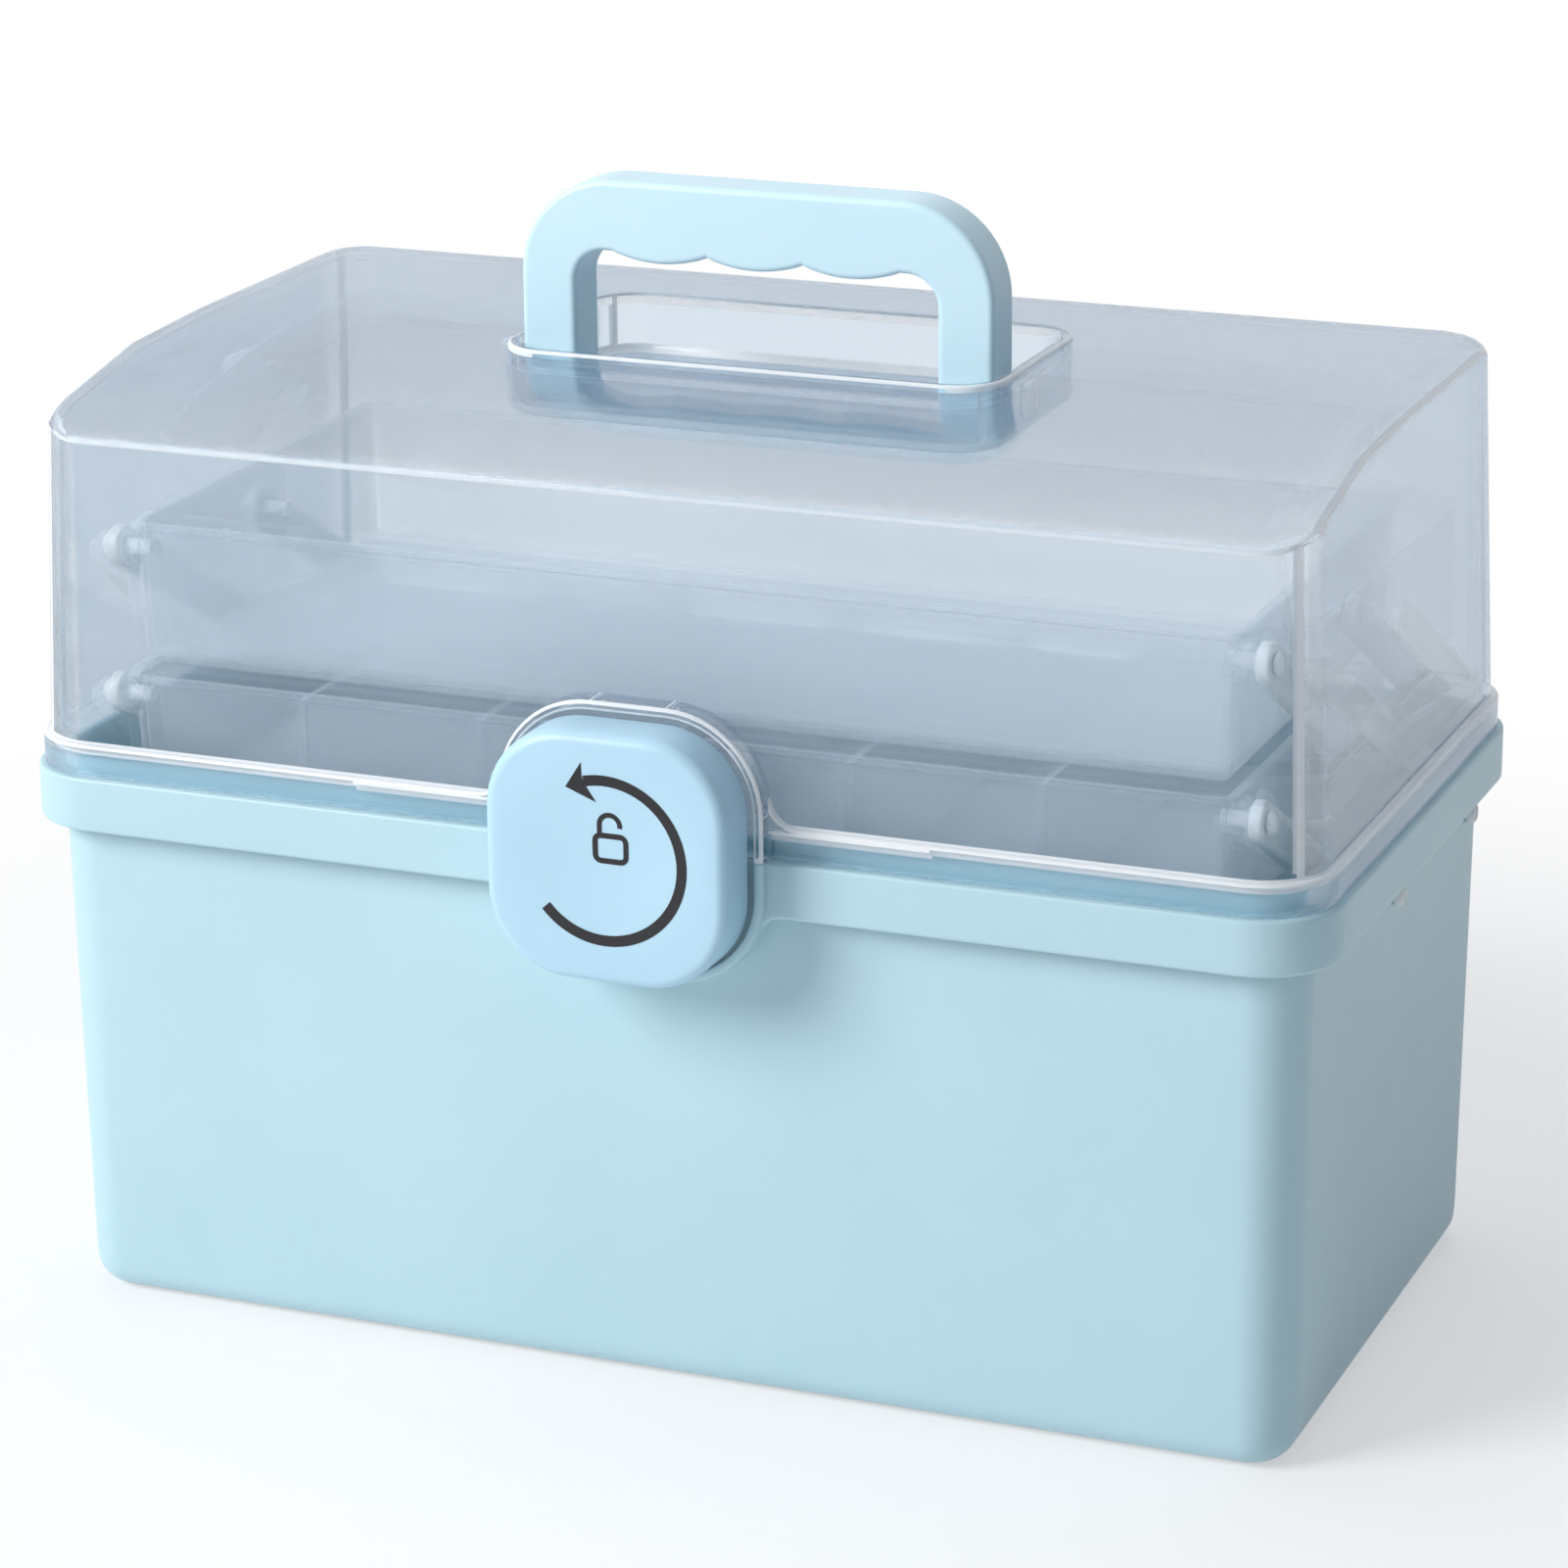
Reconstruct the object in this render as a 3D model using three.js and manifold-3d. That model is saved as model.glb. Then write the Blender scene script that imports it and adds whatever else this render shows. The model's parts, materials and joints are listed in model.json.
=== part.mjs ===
// Medication lock box: a moulded tub, a clear domed lid with a folding handle and a turning lock,
// and two clear trays that swing up on parallel arms. Millimetres, +Z up, front towards -Y.
// The origin is the middle of the face that the tub stands on.

import * as THREE from 'three';
import { mergeVertices } from 'three/addons/utils/BufferGeometryUtils.js';
import Module from 'manifold-3d';

const wasm = await Module();
wasm.setup();

// Driving dimensions

const gap = 0.3; // between pieces that touch
const fit = 0.4; // running clearance round a pin or beside a moving piece
const overrun = 1; // how far a cut runs past the face it opens

// Tub
const rimLength = 335;
const rimWidth = 180;
const rimTop = 140; // the seam between tub and lid
const rimBand = 13.7; // height of the band under the seam
const rimCorner = 20;
const rimOverhang = 6.2; // band outside the tub's wall
const tubWall = 2.2;
const tubFloor = 2.5;
const tubTaper = 2; // each wall draws in this much down to the foot
const footRound = 8;
const lipHeight = 4;
const lipThickness = 2;

// Lid
const lidWall = 2;
const lidHeight = 99.2; // seam to the top of the roof
const flangeHeight = 8.2;
const flangeInset = 1.5; // behind the band's face
const lidStep = 1.9; // from the flange's face in to the wall
const lidDraft = 3.9; // each wall draws in this much up to the roof
const roofDrop = 14; // from the roof's top down to the front crease
const roofFlatStart = 20; // Y where the roof starts to fall towards the front
const roofFallPower = 3.7; // how late the fall steepens
const roofBackRound = 6;
const roofEndRound = 8; // width of the rounding along both end walls
const roofEndDrop = 4.3;

// Handle and its pocket
const handleSpan = 123;
const handleLeg = 14.3;
const handleThickness = 14.5;
const handleRise = 48.4; // pivot to the top of the bar
const handleBar = 17.5;
const handleOuterCorner = 24;
const handleInnerCorner = 8;
const fingerLobes = 3;
const fingerLobeMargin = 1.95; // straight bit beside the outer lobes
const fingerLobeDepth = 2.4;
const handlePivotY = -5.1;
const pocketGap = 1.5; // each side of the handle
const pocketFrontGap = 9.6;
const pocketWall = 2;
const pocketCorner = 11;
const pocketProud = 1.2; // rim above the roof
const handlePinRadius = 2.2;
const handlePinHead = 3.7; // radius
const handlePinReach = 10; // into the handle's leg
const handleBossRadius = 4.4;

// Lock
const lockAboveSeam = 1.7;
const lugSize = 67.5;
const lugCorner = 24;
const lugBorder = 2.4;
const lugProud = 2.4; // border in front of the band
const lugFlare = 6; // hollow rounding from the lug out to the band's lower edge
const archFlare = 8; // the same from the arch out to the flange's top
const knobSize = 61;
const knobCorner = 20.5;
const knobDepth = 14;
const knobWall = 2.2;
const knobDish = 1.2;
const knobBevel = 3.6;
const hubRadius = 9;
const camRadius = 22;
const camThickness = 2.2;
const camBoss = 9;
const camBossLength = 5.4;
const pegRadius = 2.5;
const pegOrbit = 16;
const tonguePlate = 2.2;
const tongueWidth = 18;
const tongueDrop = 7.9; // below the seam
const axleRadius = 1.9;
const screwHeadRadius = 3.8;
const screwHeadThickness = 1.4;
const washerRadius = 5;
const washerThickness = 0.8;

// Lid hinge
const hingeOffset = 85; // each hinge from the middle
const hingeBehind = 4; // axis behind the band
const hingeAboveSeam = 1.6;
const barrelRadius = 3.5;
const hingePinRadius = 1.5;
const lidBarrelLength = 24;
const tubBarrelLength = 8;
const hingePinHead = 2.6;

// Trays
const trayWall = 1.8;
const trayFloor = 1.8;
const trayTaper = 1.5;
const trayCorner = 4;
const trayFootRound = 5;
const trayBossReach = 2; // from the rim out to the arms
const trayRimBead = 1.2; // how far the bead stands out of the wall
const trayRimBeadHeight = 2.4;
const topTrayFront = -72;
const topTrayBack = 62;
const topTrayBottom = 164;
const topTrayHeight = 37;
const middleTrayFront = -75.5;
const middleTrayBack = 60;
const middleTrayBottom = 127;
const middleTrayHeight = 36;
const middleTrayCells = 6;

// Arms: the places of the pins in the side view (Y, Z)
const lowerPinY = -3;
const lowerPinZ = 119.5;
const lowerPinPitch = 67;
const lowerReachY = -66;
const lowerReachZ = 37.3;
const upperReachY = -64;
const upperReachZ = 36.7;
const railReachY = 72; // from the middle tray's rear pin to the rail's end
const railDrop = 8.3;
const armWidth = 10;
const armLayer = 3.4;
const railLayer = 2.2;
const outerArmLayer = 2.8;
const railWidth = 9.6;
const armPinRadius = 2;
const stubRadius = 3.1;
const bossRadius = 5.5;
const tubBossReach = 4.2; // from the tub's end wall in to the outer arms
const railScrewShare = 0.46; // along the rail
const pinHeadRadius = 2.8;
const pinHeadThickness = 2.2;
const pinCollar = 1.3; // thickness of a pin's plain inner head
const splitWidth = 0.8; // slot in a split pin's head

// Counts
const cornerSteps = 5;
const footSteps = 3;
const roundSteps = 20;
const smallRoundSteps = 12;
const roofSteps = 9;
const roofRoundSteps = 4;
const lobeSteps = 6;
const linkSteps = 7; // round each end of a link
const flareSteps = 24;

// Values that follow from them

const halfLength = rimLength / 2;
const halfWidth = rimWidth / 2;
const tubHalfLength = halfLength - rimOverhang;
const tubHalfWidth = halfWidth - rimOverhang;
const tubCorner = rimCorner - rimOverhang;
const lidBottom = rimTop + gap;
const flangeTop = rimTop + flangeHeight;
const roofTop = rimTop + lidHeight;
const frontFace = -halfWidth;
const knobZ = rimTop + lockAboveSeam;
const hingeY = halfWidth + hingeBehind;
const hingeZ = rimTop + hingeAboveSeam;
const handleHalf = handleThickness / 2;
const fingerRun = handleSpan - 2 * (handleLeg + handleInnerCorner + fingerLobeMargin);
const fingerLobePitch = fingerRun / fingerLobes;
const pocketTop = roofTop + pocketProud;
const handlePivotZ = roofTop + pocketProud - handleHalf - gap;
const pocketFloorTop = handlePivotZ - handleHalf - gap;
const handleTop = handlePivotZ + handleRise;
const pocketHalf = handleSpan / 2 + pocketGap;
const pocketFront = handlePivotY - handleHalf - pocketFrontGap;
const pocketBack = handlePivotY + handleRise + pocketGap;
const lipSet = tubWall - lipThickness;
const hingeCentres = [-hingeOffset, hingeOffset];
const lugBack = frontFace + rimOverhang;
const lugFront = frontFace - lugProud;
const plateBack = frontFace + tonguePlate;
const wellSize = lugSize - 2 * lugBorder;
const camFront = frontFace - gap - camThickness;
const knobBack = camFront - 2 * gap;
const tubWallOut = tubHalfLength - tubTaper * (1 - lowerPinZ / rimTop); // the end wall's face at the pins

// The layers at each end, from the tub's wall in to the trays
const outerLayerEnd = tubWallOut - tubWall - tubBossReach - fit;
const outerLayerStart = outerLayerEnd - outerArmLayer;
const railLayerStart = outerLayerStart - fit - railLayer;
const innerEnd = railLayerStart - fit;
const firstLayer = innerEnd - armLayer; // inner face of the arms nearest the trays
const bossFace = firstLayer - fit;
const trayHalfLength = bossFace - trayBossReach;
const trayBoreEnd = trayHalfLength - trayRimBead - trayWall - trayTaper;

// Pin places in the side view (Y, Z)
const lowerFront = [lowerPinY, lowerPinZ];
const lowerRear = [lowerPinY + lowerPinPitch, lowerPinZ];
const middleFront = [lowerFront[0] + lowerReachY, lowerFront[1] + lowerReachZ];
const middleRear = [lowerRear[0] + lowerReachY, lowerRear[1] + lowerReachZ];
const railEnd = [middleRear[0] + railReachY, middleRear[1] - railDrop];
const railScrew = [middleRear[0] + railReachY * railScrewShare, middleRear[1] - railDrop * railScrewShare];
const topFront = [middleRear[0] + upperReachY, middleRear[1] + upperReachZ];
const topRear = [railEnd[0] + upperReachY, railEnd[1] + upperReachZ];

// Materials

const finish = (color, roughness, metalness, opacity = 1) =>
  new THREE.MeshStandardMaterial({ color, roughness, metalness, opacity, transparent: opacity < 1 });

const bluePolypropylene = finish(0xb9e2ec, 0.35, 0);
const clearStyrene = finish(0xdceaf4, 0.12, 0, 0.3);
const whiteNylon = finish(0xf4f5f4, 0.4, 0);
const zincSteel = finish(0xc9ccd0, 0.35, 1);

// Making and joining solids

function toManifold(geometry) {
  const bare = geometry.index ? geometry.clone() : geometry;
  bare.deleteAttribute('normal');
  bare.deleteAttribute('uv');
  const merged = mergeVertices(bare);
  return new wasm.Manifold(new wasm.Mesh({
    numProp: 3,
    vertProperties: new Float32Array(merged.attributes.position.array),
    triVerts: new Uint32Array(merged.index.array),
  }));
}

function toGeometry(solid) {
  const mesh = solid.getMesh();
  const geometry = new THREE.BufferGeometry();
  const places = new Float32Array(mesh.vertProperties);
  geometry.setAttribute('position', new THREE.BufferAttribute(places, mesh.numProp));
  geometry.setIndex([...mesh.triVerts]);
  return geometry;
}

const union = (...solids) => solids.reduce((a, b) => a.add(b));
const mirrored = (solid) => solid.mirror([1, 0, 0]);

function box(x0, x1, y0, y1, z0, z1) {
  const geometry = new THREE.BoxGeometry(x1 - x0, y1 - y0, z1 - z0);
  geometry.translate((x0 + x1) / 2, (y0 + y1) / 2, (z0 + z1) / 2);
  return toManifold(geometry);
}

// A closed stack of rings, each a list of as many points, capped at both ends.
function ringStack(rings) {
  const count = rings[0].length;
  const places = [];
  const triangles = [];
  rings.forEach((ring) => ring.forEach((point) => places.push(...point)));
  for (let level = 0; level + 1 < rings.length; level++) {
    for (let i = 0; i < count; i++) {
      const a = level * count + i;
      const b = level * count + ((i + 1) % count);
      triangles.push(a, b, b + count, a, b + count, a + count);
    }
  }
  const last = (rings.length - 1) * count;
  for (let i = 1; i + 1 < count; i++) {
    triangles.push(0, i + 1, i, last, last + i, last + i + 1);
  }
  const geometry = new THREE.BufferGeometry();
  geometry.setAttribute('position', new THREE.Float32BufferAttribute(places, 3));
  geometry.setIndex(triangles);
  return toManifold(geometry);
}

// Points round a rectangle with round corners, anticlockwise.
function roundRectangle(x0, x1, y0, y1, radius, steps = cornerSteps) {
  const centres = [[x1 - radius, y1 - radius], [x0 + radius, y1 - radius],
    [x0 + radius, y0 + radius], [x1 - radius, y0 + radius]];
  const points = [];
  centres.forEach(([x, y], quarter) => {
    for (let i = 0; i <= steps; i++) {
      const turn = (quarter + i / steps) * Math.PI / 2;
      points.push([x + radius * Math.cos(turn), y + radius * Math.sin(turn)]);
    }
  });
  return points;
}

const level = (points, z) => points.map(([x, y]) => [x, y, z]);

// A level slab with a rounded rectangle as its outline.
function slab(x0, x1, y0, y1, radius, z0, z1) {
  const outline = roundRectangle(x0, x1, y0, y1, radius);
  return ringStack([level(outline, z0), level(outline, z1)]);
}

// The inside or outside of an open moulded tub: rounded at its foot, drafted above.
function draftedBody(half, taper, radius, footRadius, z0, z1) {
  const rings = [];
  for (let i = 0; i <= footSteps; i++) {
    const turn = (i / footSteps) * Math.PI / 2;
    const inset = taper + footRadius * (1 - Math.sin(turn));
    const z = z0 + footRadius * (1 - Math.cos(turn));
    rings.push(level(half(inset, Math.max(radius - inset, radius / 3)), z));
  }
  rings.push(level(half(0, radius), z1));
  return ringStack(rings);
}

// A rounded square in the X-Z plane, from y0 (nearer the front) to y1.
function squircle(size, radius, y0, y1, y0Size = size) {
  const ring = (width, corner, y) => roundRectangle(-width / 2, width / 2, -width / 2, width / 2, corner)
    .map(([x, z]) => [x, y, knobZ + z]);
  const corner = (width) => radius - (size - width) / 2;
  return ringStack([ring(size, radius, y1), ring(y0Size, corner(y0Size), y0)]);
}

// Round bars along X and along Y.
function barX(radius, y, z, x0, x1, steps = smallRoundSteps) {
  const geometry = new THREE.CylinderGeometry(radius, radius, x1 - x0, steps);
  geometry.rotateZ(Math.PI / 2);
  geometry.translate((x0 + x1) / 2, y, z);
  return toManifold(geometry);
}

function barY(radius, x, z, y0, y1, steps = roundSteps) {
  const geometry = new THREE.CylinderGeometry(radius, radius, y1 - y0, steps);
  geometry.translate(x, (y0 + y1) / 2, z);
  return toManifold(geometry);
}

// An outline drawn in the side view (Y, Z), extruded along X.
function sidePlate(outline, x0, x1) {
  const shape = new THREE.Shape(outline);
  const geometry = new THREE.ExtrudeGeometry(shape, { depth: x1 - x0, bevelEnabled: false });
  geometry.applyMatrix4(new THREE.Matrix4().makeBasis(
    new THREE.Vector3(0, 1, 0), new THREE.Vector3(0, 0, 1), new THREE.Vector3(1, 0, 0)));
  geometry.translate(x0, 0, 0);
  return toManifold(geometry);
}

// An outline drawn in the front view (X, Z), extruded along Y.
function frontPlate(shape, y0, y1, curveSegments = smallRoundSteps) {
  const geometry = new THREE.ExtrudeGeometry(shape, { depth: y1 - y0, bevelEnabled: false, curveSegments });
  geometry.rotateX(Math.PI / 2);
  geometry.translate(0, y1, 0);
  return toManifold(geometry);
}

const parts = new THREE.Group();

function addPart(name, solid, material) {
  const mesh = new THREE.Mesh(toGeometry(solid), material);
  mesh.name = name;
  parts.add(mesh);
}

// Both sides of the box: the right one as made, the left one mirrored.
function addPair(name, solid, material) {
  addPart(`${name}_right`, solid, material);
  addPart(`${name}_left`, mirrored(solid), material);
}

// Tub

const tubRing = (inset, radius) => roundRectangle(
  -tubHalfLength + inset, tubHalfLength - inset, -tubHalfWidth + inset, tubHalfWidth - inset, radius);
const tubInnerRing = (inset, radius) => tubRing(inset + tubWall, radius);
const rimSlab = (inset, z0, z1) => slab(-halfLength + inset, halfLength - inset,
  -halfWidth + inset, halfWidth - inset, rimCorner - inset, z0, z1);

// The lug as a block, the well in front and the hollow behind its plate.
const lugBlock = squircle(lugSize, lugCorner, lugFront, lugBack + tubTaper);
const lugWell = squircle(wellSize, lugCorner - lugBorder, lugFront - overrun, frontFace);
const lugHollow = squircle(lugSize - 2 * tubWall, lugCorner - tubWall, plateBack, lugBack - gap);
const lugCornerX = lugSize / 2 - lugCorner;
const below = (z) => box(-lugSize, lugSize, -halfWidth - lugSize, 0, z - 2 * lugSize, z);
const above = (z) => box(-lugSize, lugSize, -halfWidth - lugSize, 0, z, z + 2 * lugSize);

// The web on both sides of the lug that sweeps from a corner's round out to a level edge.
// side is 1 for an edge that the web stands on and -1 for one that it hangs from.
function flareWebs(radius, edgeZ, side, y0, y1) {
  const cornerZ = knobZ + side * lugCornerX;
  const centreZ = edgeZ + side * radius;
  const reach = lugCorner + radius;
  const centreX = lugCornerX + Math.sqrt(reach ** 2 - (centreZ - cornerZ) ** 2);
  const seat = (lugCorner - lugBorder / 2) / reach; // inside the lug's border
  const seatX = lugCornerX + (centreX - lugCornerX) * seat;
  const seatZ = cornerZ + (centreZ - cornerZ) * seat;
  const web = box(seatX, centreX, y0, y1, Math.min(edgeZ, seatZ), Math.max(edgeZ, seatZ))
    .subtract(barY(radius, centreX, centreZ, y0 - overrun, y1 + overrun, flareSteps));
  return union(web, mirrored(web));
}

// Where the lower arms' pins pass the tub's end walls, and where each boss starts.
const pinSeats = [
  { place: lowerFront, inner: innerEnd + fit },
  { place: lowerRear, inner: outerLayerEnd + fit },
];

function makeTub() {
  const outer = draftedBody(tubRing, tubTaper, tubCorner, footRound, 0, rimTop);
  const cavity = draftedBody(tubInnerRing, tubTaper, tubCorner - tubWall, footRound - tubWall,
    tubFloor, rimTop + overrun);
  const band = rimSlab(0, rimTop - rimBand, rimTop)
    .subtract(rimSlab(tubWall, rimTop - rimBand - overrun, rimTop - tubWall));
  const lip = ringStack([level(tubRing(lipSet, tubCorner - lipSet), rimTop - tubWall),
    level(tubRing(lipSet, tubCorner - lipSet), rimTop + lipHeight)]);
  const lug = lugBlock.subtract(lugWell).subtract(lugHollow.intersect(below(rimTop - tubWall)))
    .intersect(below(rimTop));
  const peg = barY(pegRadius, 0, knobZ - pegOrbit, frontFace - camThickness, plateBack, smallRoundSteps);
  const flares = flareWebs(lugFlare, rimTop - rimBand, -1, frontFace, lugBack + tubTaper);
  let tub = union(outer, band, lip, lug, peg, flares);
  tub = tub.subtract(cavity).subtract(ringStack([
    level(tubInnerRing(0, tubCorner - tubWall), rimTop - overrun),
    level(tubInnerRing(0, tubCorner - tubWall), rimTop + lipHeight + overrun)]));
  pinSeats.forEach(({ place, inner }) => {
    const boss = barX(bossRadius, ...place, inner, tubWallOut - tubWall / 2);
    const bore = barX(armPinRadius + gap, ...place, inner - overrun, tubHalfLength + overrun);
    tub = union(tub, boss, mirrored(boss)).subtract(bore).subtract(mirrored(bore));
  });
  const notchHalf = tongueWidth / 2 + fit + gap;
  tub = tub.subtract(box(-notchHalf, notchHalf, frontFace - overrun, lugBack - gap,
    rimTop - tongueDrop - fit, rimTop + overrun));
  hingeCentres.forEach((x) => {
    [-1, 1].forEach((side) => {
      const near = x + side * (lidBarrelLength / 2 + fit);
      const far = near + side * tubBarrelLength;
      const [x0, x1] = [Math.min(near, far), Math.max(near, far)];
      tub = union(tub, barX(barrelRadius, hingeY, hingeZ, x0, x1, roundSteps),
        box(x0, x1, halfWidth - tubWall / 2, hingeY + barrelRadius / 2, rimTop - rimBand / 2, hingeZ));
    });
    const half = lidBarrelLength / 2 + tubBarrelLength + overrun;
    tub = tub.subtract(barX(hingePinRadius + gap, hingeY, hingeZ, x - half, x + half));
  });
  return tub;
}

// Lid

// The roof's height over Y: level at the back, falling to the front crease.
function roofHeight(y) {
  const creaseY = -halfWidth + flangeInset + lidStep + lidDraft;
  const fall = Math.max(roofFlatStart - y, 0) / (roofFlatStart - creaseY);
  return roofTop - roofDrop * fall ** roofFallPower;
}

// The dome as a row of upright side outlines along X, lower towards both ends.
function dome(inset) {
  const base = rimTop - rimBand;
  const back = halfWidth - flangeInset - lidStep - lidDraft - inset;
  const outline = [];
  for (let i = 0; i <= roofRoundSteps; i++) {
    const turn = (i / roofRoundSteps) * Math.PI / 2;
    outline.push([back - roofBackRound * (1 - Math.cos(turn)),
      roofTop - inset - roofBackRound * (1 - Math.sin(turn))]);
  }
  for (let i = 0; i <= roofSteps; i++) {
    const y = roofFlatStart - (i / roofSteps) * (roofFlatStart + halfWidth);
    outline.push([y, roofHeight(y) - inset]);
  }
  const rings = [];
  const end = halfLength - flangeInset - lidStep - lidDraft - inset;
  const places = [[halfLength, roofEndDrop]];
  for (let i = roofRoundSteps; i >= 0; i--) {
    const share = i / roofRoundSteps;
    places.push([end - roofEndRound * (1 - share), roofEndDrop * (1 - Math.sqrt(1 - share ** 2))]);
  }
  const otherEnd = places.map(([x, drop]) => [-x, drop]);
  [...otherEnd, ...places.reverse()].forEach(([x, drop]) => {
    const row = outline.map(([y, z]) => [x, y, z - drop]);
    rings.push([[x, -halfWidth, base], [x, halfWidth, base], [x, halfWidth, row[0][2]], ...row]);
  });
  return ringStack(rings);
}

const lidRing = (inset, radius) => roundRectangle(-halfLength + inset, halfLength - inset,
  -halfWidth + inset, halfWidth - inset, radius);

function lidBody(inset) {
  const foot = flangeInset + inset;
  const wall = foot + lidStep;
  const top = wall + lidDraft;
  const flange = ringStack([
    level(lidRing(foot, rimCorner - foot), lidBottom - (inset ? overrun : 0)),
    level(lidRing(foot, rimCorner - foot), flangeTop - inset)]);
  const walls = ringStack([
    level(lidRing(wall, rimCorner - wall), lidBottom - (inset ? overrun : 0)),
    level(lidRing(wall, rimCorner - wall), flangeTop),
    level(lidRing(top, rimCorner - wall), roofTop + overrun)]);
  return union(flange, walls.intersect(dome(inset)));
}

function makeLid() {
  const pocketOuter = slab(-pocketHalf - pocketWall, pocketHalf + pocketWall, pocketFront - pocketWall,
    pocketBack + pocketWall, pocketCorner + pocketWall, pocketFloorTop - pocketWall, pocketTop);
  const pocketInner = slab(-pocketHalf, pocketHalf, pocketFront, pocketBack, pocketCorner,
    pocketFloorTop, pocketTop + overrun);
  const arch = lugBlock.subtract(lugWell).intersect(above(lidBottom));
  const tongueHalf = tongueWidth / 2;
  const tongue = union(
    box(-tongueHalf, tongueHalf, frontFace, plateBack, rimTop - tongueDrop + tongueHalf / 2, knobZ),
    tongueEnd());
  const recess = squircle(lugSize - 2 * tubWall, lugCorner - tubWall, plateBack, lugBack + 2 * lidStep)
    .intersect(above(lidBottom - overrun));
  const flareBack = frontFace + flangeInset + lidStep + lidWall / 2;
  const flares = flareWebs(archFlare, flangeTop, 1, frontFace + flangeInset, flareBack);
  let lid = union(lidBody(0), arch, flares);
  lid = lid.subtract(lidBody(lidWall).subtract(pocketOuter));
  lid = union(lid, pocketOuter).subtract(pocketInner).subtract(recess);
  lid = union(lid, tongue);
  const pinBoss = barX(handleBossRadius, handlePivotY, handlePivotZ, pocketHalf + pocketWall / 2,
    pocketHalf + 2 * pocketWall);
  const pinBore = barX(handlePinRadius + gap, handlePivotY, handlePivotZ, pocketHalf - overrun,
    pocketHalf + 2 * pocketWall + overrun);
  lid = union(lid, pinBoss, mirrored(pinBoss)).subtract(pinBore).subtract(mirrored(pinBore));
  lid = lid.subtract(barY(axleRadius + fit, 0, knobZ, frontFace - overrun, plateBack + overrun));
  hingeCentres.forEach((x) => {
    const half = lidBarrelLength / 2;
    const back = halfWidth - flangeInset;
    lid = union(lid, barX(barrelRadius, hingeY, hingeZ, x - half, x + half, roundSteps),
      box(x - half, x + half, back - lidWall / 2, hingeY, hingeZ + barrelRadius / 5, hingeZ + barrelRadius));
    lid = lid.subtract(barX(hingePinRadius + gap, hingeY, hingeZ, x - half - overrun, x + half + overrun));
  });
  return lid;
}

// The round lower end of the tongue, which hangs in the notch of the tub's band.
function tongueEnd() {
  const half = tongueWidth / 2;
  const outline = roundRectangle(-half, half, rimTop - tongueDrop, knobZ, half / 2)
    .map(([x, z]) => new THREE.Vector2(x, z));
  return frontPlate(new THREE.Shape(outline), frontFace, plateBack);
}

// Handle: an arch in the front view, cut to its rounded side view.

function makeHandle() {
  const half = handleSpan / 2;
  const inner = half - handleLeg;
  const under = handleTop - handleBar;
  const foot = handlePivotZ - handleHalf;
  const shape = new THREE.Shape();
  shape.moveTo(half, foot);
  shape.lineTo(half, handleTop - handleOuterCorner);
  shape.absarc(half - handleOuterCorner, handleTop - handleOuterCorner, handleOuterCorner, 0, Math.PI / 2);
  shape.absarc(handleOuterCorner - half, handleTop - handleOuterCorner, handleOuterCorner,
    Math.PI / 2, Math.PI);
  shape.lineTo(-half, foot);
  shape.lineTo(-inner, foot);
  shape.lineTo(-inner, under - handleInnerCorner);
  shape.absarc(handleInnerCorner - inner, under - handleInnerCorner, handleInnerCorner,
    Math.PI, Math.PI / 2, true);
  const firstLobe = -fingerLobes * fingerLobePitch / 2;
  for (let i = 0; i <= fingerLobes * lobeSteps; i++) {
    const along = i / lobeSteps;
    const sag = fingerLobeDepth * Math.abs(Math.sin(along * Math.PI));
    shape.lineTo(firstLobe + along * fingerLobePitch, under - sag);
  }
  shape.absarc(inner - handleInnerCorner, under - handleInnerCorner, handleInnerCorner,
    Math.PI / 2, 0, true);
  shape.lineTo(inner, foot);
  const front = frontPlate(shape, handlePivotY - handleHalf, handlePivotY + handleHalf);
  const side = roundRectangle(handlePivotY - handleHalf, handlePivotY + handleHalf,
    foot, handleTop + overrun + handleHalf, handleHalf)
    .map(([y, z]) => new THREE.Vector2(y, z));
  let handle = front.intersect(sidePlate(side, -half - overrun, half + overrun));
  const bore = barX(handlePinRadius + gap, handlePivotY, handlePivotZ, half - handlePinReach - overrun,
    half + overrun);
  handle = handle.subtract(bore).subtract(mirrored(bore));
  return handle;
}

function makeHandlePin() {
  const head = pocketHalf + 2 * pocketWall + gap;
  return union(
    barX(handlePinRadius, handlePivotY, handlePivotZ, handleSpan / 2 - handlePinReach, head + gap),
    barX(handlePinHead, handlePivotY, handlePivotZ, head, head + pinHeadThickness));
}

// Lock

function makeKnob() {
  const face = knobBack - knobDepth;
  const shoulder = face + knobBevel;
  const edge = knobSize - knobBevel;
  const inner = knobSize - 2 * knobWall;
  const outside = union(squircle(knobSize, knobCorner, shoulder, knobBack),
    squircle(knobSize, knobCorner, face, shoulder, edge));
  const dishWidth = edge - 2 * knobBevel;
  const dishCorner = knobCorner - (knobSize - dishWidth) / 2;
  const dish = union(squircle(dishWidth - 2 * knobBevel, dishCorner - knobBevel, face, face + knobDish,
    dishWidth), squircle(dishWidth, dishCorner, face - overrun, face));
  const cup = squircle(inner, knobCorner - knobWall, shoulder, knobBack + overrun);
  const hub = barY(hubRadius, 0, knobZ, shoulder - gap, knobBack);
  const socketHalf = camBoss / 2 + gap;
  const socket = box(-socketHalf, socketHalf, camFront - camBossLength - gap, knobBack + overrun,
    knobZ - socketHalf, knobZ + socketHalf);
  const bore = barY(axleRadius + gap, 0, knobZ, face + knobDish + knobWall, knobBack + overrun);
  return outside.subtract(dish).subtract(cup).add(hub).subtract(socket).subtract(bore);
}

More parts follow.
